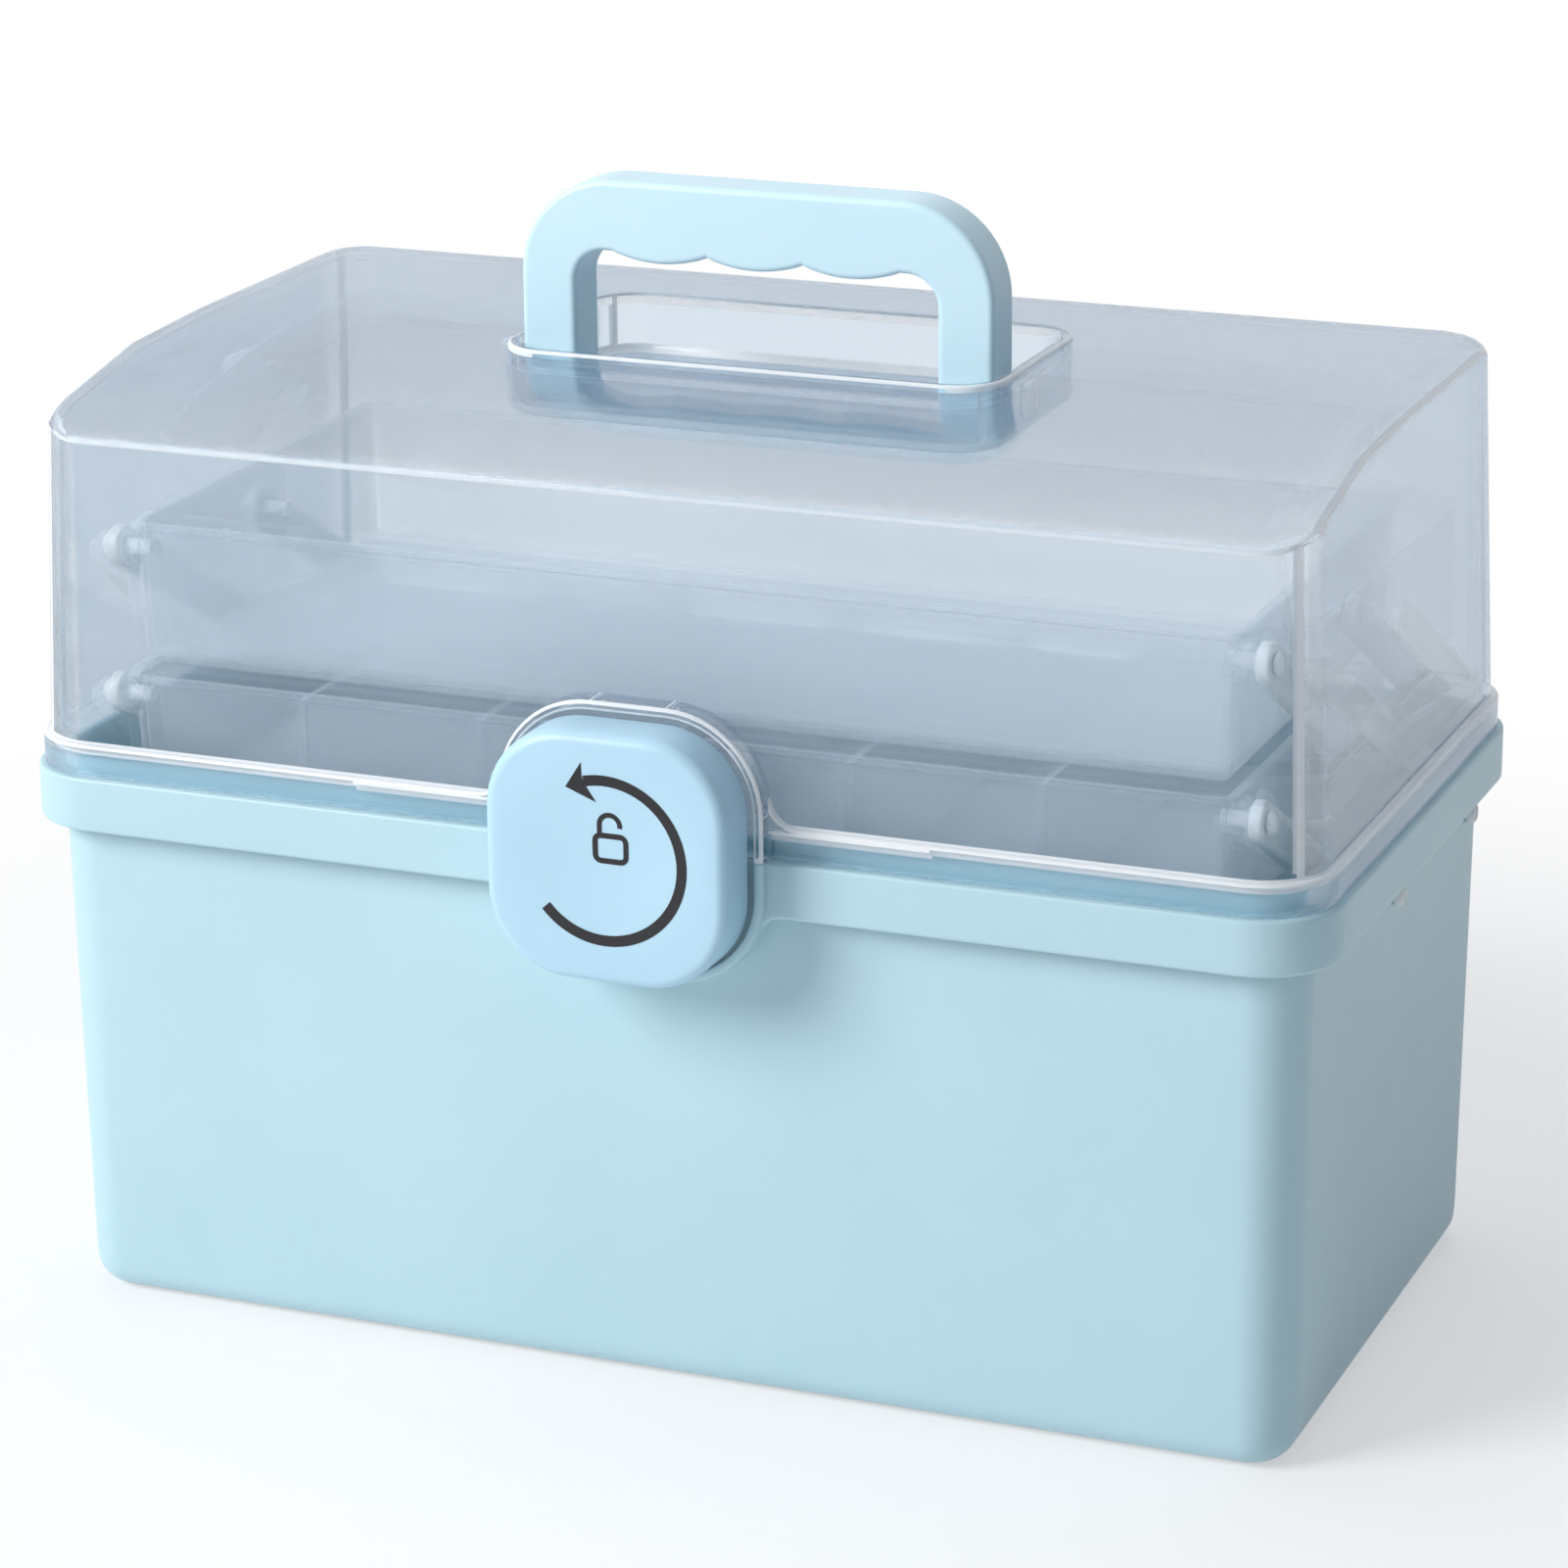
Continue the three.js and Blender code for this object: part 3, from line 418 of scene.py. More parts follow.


def paint_edge_highlights(piece, material):
    """Paints highlights: gives the piece's tight rounds, and one strip along its wide ones, a pale material
    of their own that shows as bright lines.
    """
    piece.data.materials.append(material)
    bm = bmesh.new()
    bm.from_mesh(piece.data)
    for face in bm.faces:
        width = face.calc_area() / max(edge.calc_length() for edge in face.edges)
        turn = max((edge.calc_face_angle() for edge in face.edges if edge.is_manifold), default=0)
        tight = turn > TIGHT_TURN and width < TIGHT_ROUND * MM
        wide = turn > WIDE_TURN and width < WIDE_ROUND * MM
        slanted = HIGHLIGHT_STRIP_SLANT[0] < abs(face.normal.x) < HIGHLIGHT_STRIP_SLANT[1]
        # these faces get the pale painted-highlight material
        if tight or wide and slanted and face.calc_center_median().z > FLANGE_TOP * MM:
            face.material_index = 1
    bm.to_mesh(piece.data)
    bm.free()


# Materials


def srgb(code):
    """A linear colour from an sRGB hex value."""
    channels = [int(code[i:i + 2], 16) / 255 for i in (1, 3, 5)]
    linear = [c / 12.92 if c <= 0.04045 else ((c + 0.055) / 1.055) ** 2.4 for c in channels]
    return (*linear, 1.0)


def node(tree, kind, links=(), **settings):
    """Adds a node, sets its fields or sockets by name, and links or sets the sockets in links.
    A node as a link's source stands for its first output."""
    made = tree.nodes.new(kind)
    for name, value in settings.items():
        if hasattr(made, name):
            setattr(made, name, value)
        else:
            made.inputs[name.replace("_", " ")].default_value = value
    for socket, source in links:
        if isinstance(source, bpy.types.Node):
            source = source.outputs[0]
        if isinstance(source, bpy.types.NodeSocket):
            tree.links.new(source, made.inputs[socket])
        else:
            made.inputs[socket].default_value = source
    return made


def across(size):
    """A pattern's scale from the size of its cells in millimetres."""
    return 1 / (size * MM)


def new_material(name):
    """An empty material, its tree, and the link that gives a pattern its place on the piece."""
    material = bpy.data.materials.new(name)
    material.use_nodes = True
    tree = material.node_tree
    tree.nodes.clear()
    return material, tree, [("Vector", node(tree, "ShaderNodeTexCoord").outputs["Object"])]


def finish_material(material, tree, shader):
    node(tree, "ShaderNodeOutputMaterial", [("Surface", shader)])
    return material


def mottled(tree, tinting, dark, light, wear, low, high):
    """A shader's links for a colour and a gloss that wander with two patterns."""
    tint = node(tree, "ShaderNodeMix", [("Factor", tinting)], data_type="RGBA", A=srgb(dark), B=srgb(light))
    rough = node(tree, "ShaderNodeMapRange", [("Value", wear)], To_Min=low, To_Max=high)
    return [("Base Color", tint.outputs["Result"]), ("Roughness", rough)]


def mould_flow(tree, at, strength, depth, low, high):
    """A shader's links for the long soft waves of the mould's flow and a faint haze."""
    flow = node(tree, "ShaderNodeTexNoise", at, Scale=across(111), Detail=1.0)
    fine = node(tree, "ShaderNodeTexNoise", at, Scale=across(11.1), Detail=2.0)
    bump = node(tree, "ShaderNodeBump", [("Height", flow)], Strength=strength, Distance=depth * MM)
    haze = node(tree, "ShaderNodeMapRange", [("Value", fine)], To_Min=low, To_Max=high)
    return [("Normal", bump), ("Roughness", haze)]


def moulded_polypropylene(name, light, dark):
    """Injection-moulded polypropylene, pale blue: a soft gloss over a fine spark-eroded texture,
    with the slight cloudiness and faint flow shading of a thick translucent wall."""
    material, tree, at = new_material(name)
    cloud = node(tree, "ShaderNodeTexNoise", at, Scale=across(45.5), Detail=3.0, Roughness=0.55)
    scuff = node(tree, "ShaderNodeTexNoise", at, Scale=across(7.14), Detail=4.0, Roughness=0.6)
    # the real texture is about 0.1 mm across: drawn at 0.7 mm so that it shows
    grain = node(tree, "ShaderNodeTexNoise", at, Scale=across(0.714), Detail=2.0)
    waves = node(tree, "ShaderNodeTexNoise", at, Scale=across(71.4), Detail=1.0)
    relief = node(tree, "ShaderNodeMath", [(0, grain), (1, 0.12), (2, waves)], operation="MULTIPLY_ADD")
    bump = node(tree, "ShaderNodeBump", [("Height", relief)], Strength=0.12, Distance=0.6 * MM)
    links = mottled(tree, cloud, dark, light, scuff, 0.3, 0.44) + [("Normal", bump)]
    shader = node(tree, "ShaderNodeBsdfPrincipled", links, IOR=1.49, Subsurface_Weight=0.08,
                  Subsurface_Radius=(0.6, 0.9, 1.0), Subsurface_Scale=2 * MM)
    return finish_material(material, tree, shader)


def clear_wall(name, thin, deep, face_on, edge_on, clearness):
    """Clear moulded polystyrene with a faint blue cast, as a real wall that bends light. Face on,
    part of the light goes straight through, so the trays and arms behind it are lit; at a glance
    it looks deeper and bluer."""
    material, tree, at = new_material(name)
    facing = node(tree, "ShaderNodeLayerWeight", Blend=0.5).outputs["Facing"]
    late = node(tree, "ShaderNodeMath", [(0, facing), (1, 2.0)], operation="POWER")
    body = node(tree, "ShaderNodeMapRange", [("Value", late)], To_Min=face_on, To_Max=edge_on)
    tint = node(tree, "ShaderNodeMix", [("Factor", facing)], data_type="RGBA", A=srgb(thin), B=srgb(deep))
    links = [("Base Color", tint.outputs["Result"]), ("Alpha", body)]
    shader = node(tree, "ShaderNodeBsdfPrincipled", links + mould_flow(tree, at, 0.025, 3.0, 0.0, 0.035),
                  IOR=1.45, Transmission_Weight=clearness)
    return finish_material(material, tree, shader)


TRAY_GLOSS = 0.12  # low, because the trays are seen through the lid, which blurs reflections


def clear_tray(name, colour, face_on, edge_on):
    """Clear moulded polystyrene: nearly see-through face on, and milky and bright at a glance."""
    material, tree, at = new_material(name)
    flow = mould_flow(tree, at, 0.25, 4.0, 0.16, 0.28)
    weight = node(tree, "ShaderNodeLayerWeight", flow[:1], Blend=0.42)
    veil = node(tree, "ShaderNodeMapRange", [("Value", weight.outputs["Facing"])],
                To_Min=face_on, To_Max=edge_on)
    shader = node(tree, "ShaderNodeBsdfPrincipled", flow + [("Alpha", veil)], IOR=1.59,
                  Base_Color=srgb(colour), Specular_IOR_Level=TRAY_GLOSS)
    return finish_material(material, tree, shader)


def moulded_nylon(name):
    """White moulded nylon: satin and a little translucent, with a faint cloudy unevenness."""
    material, tree, at = new_material(name)
    cloud = node(tree, "ShaderNodeTexNoise", at, Scale=across(6.25), Detail=3.0)
    bump = node(tree, "ShaderNodeBump", [("Height", cloud)], Strength=0.15, Distance=0.3 * MM)
    links = mottled(tree, cloud, "#E6E8E8", "#F6F7F6", cloud, 0.3, 0.45) + [("Normal", bump)]
    shader = node(tree, "ShaderNodeBsdfPrincipled", links, IOR=1.53, Subsurface_Weight=0.15,
                  Subsurface_Radius=(1.0, 1.0, 1.0), Subsurface_Scale=MM)
    return finish_material(material, tree, shader)


def zinc_plated_steel(name):
    """Zinc-plated steel: bright and slightly blue, with fine turned lines round the pin."""
    material, tree, at = new_material(name)
    spread = node(tree, "ShaderNodeMapping", at, Scale=(across(0.278), across(16.7), across(16.7)))
    turned = node(tree, "ShaderNodeTexNoise", [("Vector", spread)], Scale=1.0, Detail=3.0)
    shader = node(tree, "ShaderNodeBsdfPrincipled",
                  mottled(tree, turned, "#C3C8CC", "#DADDDF", turned, 0.22, 0.42), Metallic=1.0)
    return finish_material(material, tree, shader)


def pad_print_ink(name):
    """Pad-printed ink: near black and satin, with the slight mottle of a thin coat."""
    material, tree, at = new_material(name)
    mottle = node(tree, "ShaderNodeTexNoise", at, Scale=across(1.43), Detail=3.0)
    shader = node(tree, "ShaderNodeBsdfPrincipled",
                  mottled(tree, mottle, "#17171A", "#242328", mottle, 0.6, 0.8), IOR=1.5)
    return finish_material(material, tree, shader)


HANDLE_BLUE = moulded_polypropylene("moulded_polypropylene_handle", "#D6F2FC", "#CBEAF6")
KNOB_BLUE = moulded_polypropylene("moulded_polypropylene_knob", "#BEDFF0", "#B2D5E8")
BLUE = moulded_polypropylene("moulded_polypropylene_blue", "#BFDDE5", "#B4D4DD")
LID_CLEAR = clear_wall("clear_styrene_lid", "#C4DAEC", "#4A7FAB", 0.26, 1.0, 0.92)
# painted highlights: the lid's rounded edges get a pale, nearly opaque white of their own, which shows as
# bright lines where a clear moulding catches the light
LID_EDGE_HIGHLIGHTS = clear_wall("clear_styrene_lid_edges", "#FFFFFF", "#F7FAFD", 0.8, 1.0, 0.1)
TRAY_CLEAR = clear_tray("clear_styrene_trays", "#EEF2F6", 0.12, 0.6)
WHITE = moulded_nylon("moulded_nylon_white")
STEEL = zinc_plated_steel("zinc_plated_steel")
INK = pad_print_ink("pad_print_ink")


# Tub


def tub_wall_inset(z):
    """The wall draws in towards the foot."""
    return TUB_TAPER * (1 - z / RIM_TOP)


def tub_shell():
    """One skin from the underside round the band and its lip to the floor inside."""
    skirt_under = RIM_TOP - TUB_WALL
    skirt_foot = RIM_TOP - RIM_BAND
    outside, inside = -RIM_OVERHANG, TUB_WALL - RIM_OVERHANG
    wall_foot = FOOT_ROUND + FOOT_STEP
    top = RIM_TOP + LIP_HEIGHT
    edge = quarter(EDGE, 4)
    levels = [(TUB_TAPER + FOOT_ROUND + CAP_SET, 0)]
    levels += [(TUB_TAPER + u, v) for u, v in quarter(FOOT_ROUND, 9)]
    levels += [(tub_wall_inset(z), z) for z in
               (wall_foot, RIM_TOP / 3, RIM_TOP / 2, skirt_foot, skirt_under - SKIRT_STEP)]
    levels += [(0, skirt_under), (inside, skirt_under)]
    levels += [(inside - TUB_WALL / 2 * (1 - c), skirt_foot + TUB_WALL / 2 * (1 - s))
               for s, c in arc(8, 180)]
    levels += [(outside, skirt_foot + 2 * TUB_WALL), (outside, RIM_TOP - 2 * EDGE)]
    levels += [(outside + v, RIM_TOP - u) for u, v in edge] + [(LIP_SET, RIM_TOP)]
    levels += [(LIP_SET + v, top - u) for u, v in edge] + [(TUB_WALL - u, top - v) for u, v in edge]
    levels += [(TUB_WALL + tub_wall_inset(z), z) for z in (RIM_TOP, RIM_TOP / 2, wall_foot)]
    levels += [(TUB_WALL + TUB_TAPER + u, TUB_FLOOR + v)
               for u, v in quarter(FOOT_ROUND - TUB_WALL, 6)[::-1]]
    levels.append((TUB_WALL + TUB_TAPER + FOOT_ROUND + CAP_SET, TUB_FLOOR))
    return stack("tub_shell", TUB_HALF_LENGTH, TUB_HALF_WIDTH, TUB_CORNER, levels)


def lug_ring(back):
    """The raised border behind the knob, open in front and filled behind."""
    levels = [(0, back)] + [(v, LUG_FRONT + u) for u, v in quarter(EDGE, 4)]
    levels += [(LUG_BORDER - u, LUG_FRONT + v) for u, v in quarter(EDGE, 4)]
    levels.append((LUG_BORDER, -RIM_HALF_WIDTH))
    return loft("lug_ring", [front_ring(LUG_SIZE - 2 * inset, LUG_CORNER - inset, y) for inset, y in levels])


def flare_web(radius, edge_z, side, y0, y1):
    """The web that sweeps from the lug's round corner out to a level edge, soft in front.
    side is 1 where it stands on the edge and -1 where it hangs from it."""
    corner_x = LUG_SIZE / 2 - LUG_CORNER
    corner_z = KNOB_Z + side * corner_x
    centre_z = edge_z + side * radius
    reach = LUG_CORNER + radius
    centre_x = corner_x + math.sqrt(reach ** 2 - (centre_z - corner_z) ** 2)
    start = math.atan2(corner_z - centre_z, corner_x - centre_x)
    stop = -side * math.pi / 2
    seat = (LUG_CORNER - LUG_BORDER / 2) / reach
    seat_x = corner_x + (centre_x - corner_x) * seat
    seat_z = corner_z + (centre_z - corner_z) * seat
    overlap = edge_z - side * FLARE_LAP

    def ring(away, y):
        turns = [start + (stop - start) * i / FLARE_STEPS for i in range(FLARE_STEPS + 1)]
        round_edge = [(centre_x + away * math.cos(t), y, centre_z + away * math.sin(t)) for t in turns]
        return round_edge + [(centre_x, y, overlap), (seat_x, y, overlap), (seat_x, y, seat_z)]

    rings = [ring(radius, y1)] + [ring(radius + v, y0 + u) for u, v in quarter(EDGE, 4)]
    return both_ends(loft("flare_web", rings))


def hinge_bar(name, x0, x1):
    return bar_x(name, BARREL_RADIUS, *HINGE_PLACE, x0, x1, BAR_EDGE)


def tub_hinge_knuckles():
    made = []
    for side in (-1, 1):
        near = HINGE_OFFSET + side * (LID_BARREL / 2 + BARREL_GAP)
        x0, x1 = sorted((near, near + side * TUB_BARREL))
        made.append(hinge_bar("knuckle", x0, x1))
        made.append(block("knuckle_web", x0, x1, RIM_HALF_WIDTH - TUB_WALL / 2,
                          HINGE_PLACE[0] + BARREL_RADIUS / 2, RIM_TOP - RIM_BAND / 2, HINGE_PLACE[1]))
    return made


def slab(z0, z1):
    """A cutter for the knob's side of the box between two levels."""
    return block("slab", -LUG_SIZE, LUG_SIZE, -2 * RIM_HALF_WIDTH, 0, z0, z1)


def make_tub():
    tub = tub_shell()
    web_back = -TUB_HALF_WIDTH + OVERRUN
    lug = cut(lug_ring(web_back), slab(RIM_TOP, 2 * RIM_TOP))
    add(tub, lug, *flare_web(LUG_FLARE, RIM_TOP - RIM_BAND, -1, -RIM_HALF_WIDTH, web_back))
    notch = TONGUE_WIDTH / 2 + NOTCH_GAP
    cut(tub, block("notch", -notch, notch, -RIM_HALF_WIDTH - OVERRUN, -TUB_HALF_WIDTH - SEAM_GAP,
                   RIM_TOP - TONGUE_DROP - NOTCH_DROP, RIM_TOP + OVERRUN))
    add(tub, bar_y("peg", PEG_RADIUS, 0, KNOB_Z - PEG_DROP, -RIM_HALF_WIDTH - PEG_REACH,
                   -RIM_HALF_WIDTH + TONGUE_PLATE))
    extras = []
    for pin, start in BASE_BOSS_STARTS.items():
        extras += both_ends(bar_x("boss", BOSS_RADIUS, *pin_place(pin), start,
                                  TUB_HALF_LENGTH - BASE_BOSS_SET, BOSS_EDGE))
    for knuckle in tub_hinge_knuckles():
        extras += both_ends(knuckle)
    add(tub, *extras)
    dress(tub, BLUE, "base", "blue_plastic", "tub")


def pin_place(pin):
    """A pin's axis in the side view."""
    low, high = node_box(pin)
    return (low.y + high.y) / 2, (low.z + high.z) / 2


# Lid

LID_HALF_LENGTH = RIM_HALF_LENGTH - FLANGE_INSET - LID_STEP
LID_HALF_WIDTH = RIM_HALF_WIDTH - FLANGE_INSET - LID_STEP
LID_CORNER = RIM_CORNER - FLANGE_INSET - LID_STEP


def roof_height(y):
    """Level at the back, and falling ever faster towards the front crease."""
    run = ROOF_FLAT_START + LID_HALF_WIDTH - LID_DRAFT
    fall = max(ROOF_FLAT_START - y, 0) / run
    return ROOF_TOP - ROOF_DROP * fall ** ROOF_FALL_POWER


def edge_round(normal, wall):
    """How far the roof's edge rounds inwards and downwards at a place with this normal."""
    nx, ny = normal[0] ** 2, normal[1] ** 2
    side = ROOF_BACK_ROUND if normal[1] > 0 else CREASE_ROUND
    less = wall * INNER_ROUND_SHARE
    inwards = nx * ROOF_END_ROUND + ny * side - less
    down = nx * ROOF_END_DROP + ny * side - less
    return max(inwards, LEAST_ROUND), max(down, LEAST_ROUND)


def lid_outline(inset):
    return outline(LID_HALF_LENGTH - inset, LID_HALF_WIDTH - inset, LID_CORNER - inset)


def wall_draft(z):
    """How far the lid's wall leans in at a height."""
    return LID_DRAFT * (z - FLANGE_TOP) / (ROOF_TOP - FLANGE_TOP)


def dome_rings(wall):
    """The lid's skin from its flange to the middle of the roof, set in by the wall's thickness."""
    ledge = FLANGE_TOP - wall
    wall_foot = ledge + FLANGE_FILLET
    flange = [(-LID_STEP, LID_BOTTOM), (-LID_STEP, ledge - 2 * EDGE)]
    flange += [(-LID_STEP + v, ledge - u) for u, v in quarter(EDGE, 4)]
    flange += [(-FLANGE_FILLET, ledge), (0, wall_foot)]
    rings = [[(x, y, z) for (x, y), _ in lid_outline(inset + wall)] for inset, z in flange]
    tops = []
    for (x, y), normal in lid_outline(wall):
        inwards, down = edge_round(normal, wall)
        roof = roof_height(y - normal[1] * (LID_DRAFT + inwards)) - wall
        tops.append((x, y, normal, inwards, down, roof - down))
    for share in WALL_LEVEL_SHARES:
        ring = []
        for x, y, normal, inwards, down, top in tops:
            z = wall_foot + (top - wall_foot) * share
            draft = wall_draft(z)
            ring.append((x - normal[0] * draft, y - normal[1] * draft, z))
        rings.append(ring)
    for s, c in arc(6)[1:]:
        ring = []
        for x, y, normal, inwards, down, top in tops:
            away = wall_draft(top) + inwards * (1 - c)
            px, py = x - normal[0] * away, y - normal[1] * away
            ring.append((px, py, roof_height(py) - wall - down * (1 - s)))
        rings.append(ring)
    edge = rings[-1]
    reach = LID_HALF_LENGTH - LID_HALF_WIDTH
    for i in [ROOF_FIRST_STEP] + list(range(1, ROOF_STEPS)):
        share = i / ROOF_STEPS
        ring = []
        for x, y, z in edge:
            cx = min(max(x, -reach), reach)
            px, py = x + (cx - x) * share, y * (1 - share)
            ring.append((px, py, roof_height(py) - wall))
        rings.append(ring)
    return rings


def pocket_solid(name, grow, floor, top, foot_round, top_round):
    """The handle pocket as a rounded block."""
    centre = (0.0, (POCKET_FRONT + POCKET_BACK) / 2)
    half_x = POCKET_HALF + grow
    half_y = (POCKET_BACK - POCKET_FRONT) / 2 + grow
    levels = [(u, floor + v) for u, v in quarter(foot_round, 6)]
    levels.append((0, floor + 2 * foot_round))
    if top_round:
        levels += [(v, top - u) for u, v in quarter(top_round, 4)]
    else:
        levels.append((0, top))
    return stack(name, half_x, half_y, POCKET_CORNER + grow, levels, centre)


def tongue_plate():
    """The tongue that carries the knob's axle, round at its lower end."""
    half = TONGUE_WIDTH / 2
    centre_z = (RIM_TOP - TONGUE_DROP + KNOB_Z) / 2
    height = KNOB_Z - (RIM_TOP - TONGUE_DROP)
    rings = []
    for y in (-RIM_HALF_WIDTH, -RIM_HALF_WIDTH + TONGUE_PLATE):
        plate = outline(half, height / 2 + TONGUE_LAP, half / 2)
        rings.append([(x, y, centre_z + z) for (x, z), _ in plate])
    return loft("tongue", rings)


def make_lid():
    lid = loft("lid_dome", dome_rings(LID_WALL)[::-1] + dome_rings(0))
    plate_back = -RIM_HALF_WIDTH + TONGUE_PLATE
    pocket = pocket_solid("pocket", POCKET_WALL, POCKET_FLOOR - POCKET_WALL, POCKET_TOP,
                          POCKET_FOOT_ROUND, EDGE)
    arch = cut(lug_ring(-LID_HALF_WIDTH + LID_DRAFT / 2), slab(-RIM_TOP, LID_BOTTOM))
    webs = flare_web(ARCH_FLARE, FLANGE_TOP, 1, -RIM_HALF_WIDTH + FLANGE_INSET,
                     -LID_HALF_WIDTH + LID_WALL / 2)
    add(lid, pocket, arch, *webs)
    recess = loft("recess", [front_ring(LUG_SIZE - 2 * TUB_WALL, LUG_CORNER - TUB_WALL, y)
                             for y in (plate_back, -RIM_HALF_WIDTH + RECESS_DEPTH)])
    cut(recess, slab(-RIM_TOP, LID_BOTTOM - OVERRUN))
    cut(lid, recess, pocket_solid("pocket_inside", 0, POCKET_FLOOR, POCKET_TOP + OVERRUN,
                                  POCKET_INNER_ROUND, 0))
    pivot_end = POCKET_HALF + 2 * POCKET_WALL
    barrel = (HINGE_OFFSET - LID_BARREL / 2, HINGE_OFFSET + LID_BARREL / 2)
    extras = both_ends(bar_x("handle_boss", HANDLE_BOSS, *HANDLE_PIVOT, POCKET_HALF + OVERRUN, pivot_end,
                             BOSS_EDGE))
    extras += both_ends(hinge_bar("barrel", *barrel))
    extras += both_ends(block("barrel_web", *barrel, RIM_HALF_WIDTH - FLANGE_INSET - OVERRUN, HINGE_PLACE[0],
                              HINGE_PLACE[1] + BARREL_RADIUS / 5, HINGE_PLACE[1] + BARREL_RADIUS))
    add(lid, tongue_plate(), *extras)
    bores = [bar_y("axle_bore", AXLE_BORE, 0, KNOB_Z, -RIM_HALF_WIDTH - OVERRUN, plate_back + OVERRUN)]
    bores += both_ends(bar_x("pin_bore", HANDLE_PIN_BORE, *HANDLE_PIVOT, POCKET_HALF - OVERRUN,
                             pivot_end + OVERRUN))
    bores += both_ends(bar_x("hinge_bore", HINGE_BORE, *HINGE_PLACE, barrel[0] - OVERRUN,
                             barrel[1] + OVERRUN))
    cut(lid, *bores)
    dress(lid, LID_CLEAR, "lid", "clear_plastic", "lid")
    # painted highlights: pale lines along the lid's rounded edges
    paint_edge_highlights(lid, LID_EDGE_HIGHLIGHTS)


# Handle


def handle_spans():
    """Matching (outer, inner) points along the arch, from the left foot to the right foot."""
    outer, leg = HANDLE_SPAN_HALF, HANDLE_SPAN_HALF - HANDLE_LEG
    under = HANDLE_TOP - HANDLE_BAR
    big, small = HANDLE_OUTER_CORNER, HANDLE_INNER_CORNER
    foot = HANDLE_PIVOT[1] - HANDLE_HALF
    pivot_z = HANDLE_PIVOT[1]
    left = [((-outer, foot + v), (-leg, foot + v)) for _, v in quarter(HANDLE_HALF, 8)]
    left += [((-outer, pivot_z + (HANDLE_TOP - big - pivot_z) * share),
              (-leg, pivot_z + (under - small - pivot_z) * share)) for share in LEG_SHARES]
    left += [((-outer + v, HANDLE_TOP - u), (-leg + inner_v, under - inner_u))
             for (u, v), (inner_u, inner_v) in zip(quarter(big, 14), quarter(small, 14))]
    bar = []
    steps = LOBE_STEPS * LOBES
    first = -LOBES * LOBE_PITCH / 2
    for i in range(steps + 1):
        x = first + LOBES * LOBE_PITCH * i / steps
        sag = LOBE_DEPTH * abs(math.sin(math.pi * (x - first) / LOBE_PITCH)) ** LOBE_POWER
        bar.append(((x, HANDLE_TOP), (x, under - sag)))
    right = [((-ox, oz), (-ix, iz)) for (ox, oz), (ix, iz) in reversed(left)]
    return left + bar + right


def make_handle():
    """A rounded section carried along the arch."""
    y0 = HANDLE_PIVOT[0]
    foot = HANDLE_PIVOT[1] - HANDLE_HALF
    rings = []
    for (ox, oz), (ix, iz) in handle_spans():
        rise = min(oz - foot, HANDLE_HALF)
        half = max(math.sqrt(max(HANDLE_HALF ** 2 - (HANDLE_HALF - rise) ** 2, 0)), HANDLE_LEAST_HALF)
        length = math.hypot(ox - ix, oz - iz)
        ux, uz = (ox - ix) / length, (oz - iz) / length
        edge = min(HANDLE_EDGE, half * HANDLE_EDGE_SHARE)
        ring = []
        for (along, across), _ in outline(length / 2, half, edge, steps=5):
            mid_x, mid_z = (ox + ix) / 2, (oz + iz) / 2
            ring.append((mid_x + ux * along, y0 + across, mid_z + uz * along))
        rings.append(ring)
    handle = loft("carrying_handle", rings)
    cut(handle, *both_ends(bar_x("pin_bore", HANDLE_PIN_BORE, *HANDLE_PIVOT,
                                 HANDLE_SPAN_HALF - HANDLE_PIN_DEPTH, HANDLE_SPAN_HALF + OVERRUN)))
    dress(handle, HANDLE_BLUE, "handle", "blue_plastic", "handle")


# Knob and its print


def dish_depth(x, z):
    """How far the knob's face lies behind its rim at a place, in a round shallow dish."""
    share = min(math.hypot(x, z) / DISH_RADIUS, 1.0)
    return DISH_DEPTH * (1 - share ** 2) ** DISH_POWER


def make_knob():
    """A hollow cap with a dished face, and a hub behind it with a square socket."""
    inner, inner_corner = KNOB_SIZE - 2 * KNOB_WALL, KNOB_CORNER - KNOB_WALL
    shoulder = KNOB_FACE + KNOB_ROUND
    rings = [front_ring(inner - 2 * KNOB_CAP_SET, inner_corner - KNOB_CAP_SET, shoulder)]
    rings += [front_ring(inner, inner_corner, y) for y in (shoulder, KNOB_BACK)]
    rings += [front_ring(KNOB_SIZE - 2 * u, KNOB_CORNER, KNOB_BACK - v)
              for u, v in quarter(KNOB_FOOT_ROUND, 3)]
    rings.append(front_ring(KNOB_SIZE, KNOB_CORNER, shoulder + KNOB_WALL))
    rings += [front_ring(KNOB_SIZE - 2 * v, KNOB_CORNER - v, KNOB_FACE + u)
              for u, v in quarter(KNOB_ROUND, 8)]
    half = KNOB_SIZE / 2 - KNOB_ROUND
    rim = outline(half, half, KNOB_CORNER - KNOB_ROUND)
    for i in range(1, DISH_STEPS):
        share = 1 - i / DISH_STEPS
        ring = []
        for (x, z), _ in rim:
            # the outline turns from the rounded square into a circle towards the middle
            turn = math.atan2(z, x)
            round_x, round_z = DISH_RADIUS * math.cos(turn), DISH_RADIUS * math.sin(turn)
            blend = min((1 - share) / DISH_TURN_SHARE, 1.0)
            px = (x + (round_x - x) * blend) * share
            pz = (z + (round_z - z) * blend) * share
            ring.append((px, KNOB_FACE + dish_depth(px, pz), KNOB_Z + pz))
        rings.append(ring)
    knob = loft("knob", rings)
    add(knob, bar_y("hub", HUB_RADIUS, 0, KNOB_Z, shoulder - HUB_LAP, KNOB_BACK))
    cut(knob, block("socket", -SOCKET_HALF, SOCKET_HALF, KNOB_BACK - SOCKET_DEPTH, KNOB_BACK + OVERRUN,
                    KNOB_Z - SOCKET_HALF, KNOB_Z + SOCKET_HALF))
    dress(knob, KNOB_BLUE, "knob", "blue_plastic", "lock_knob")


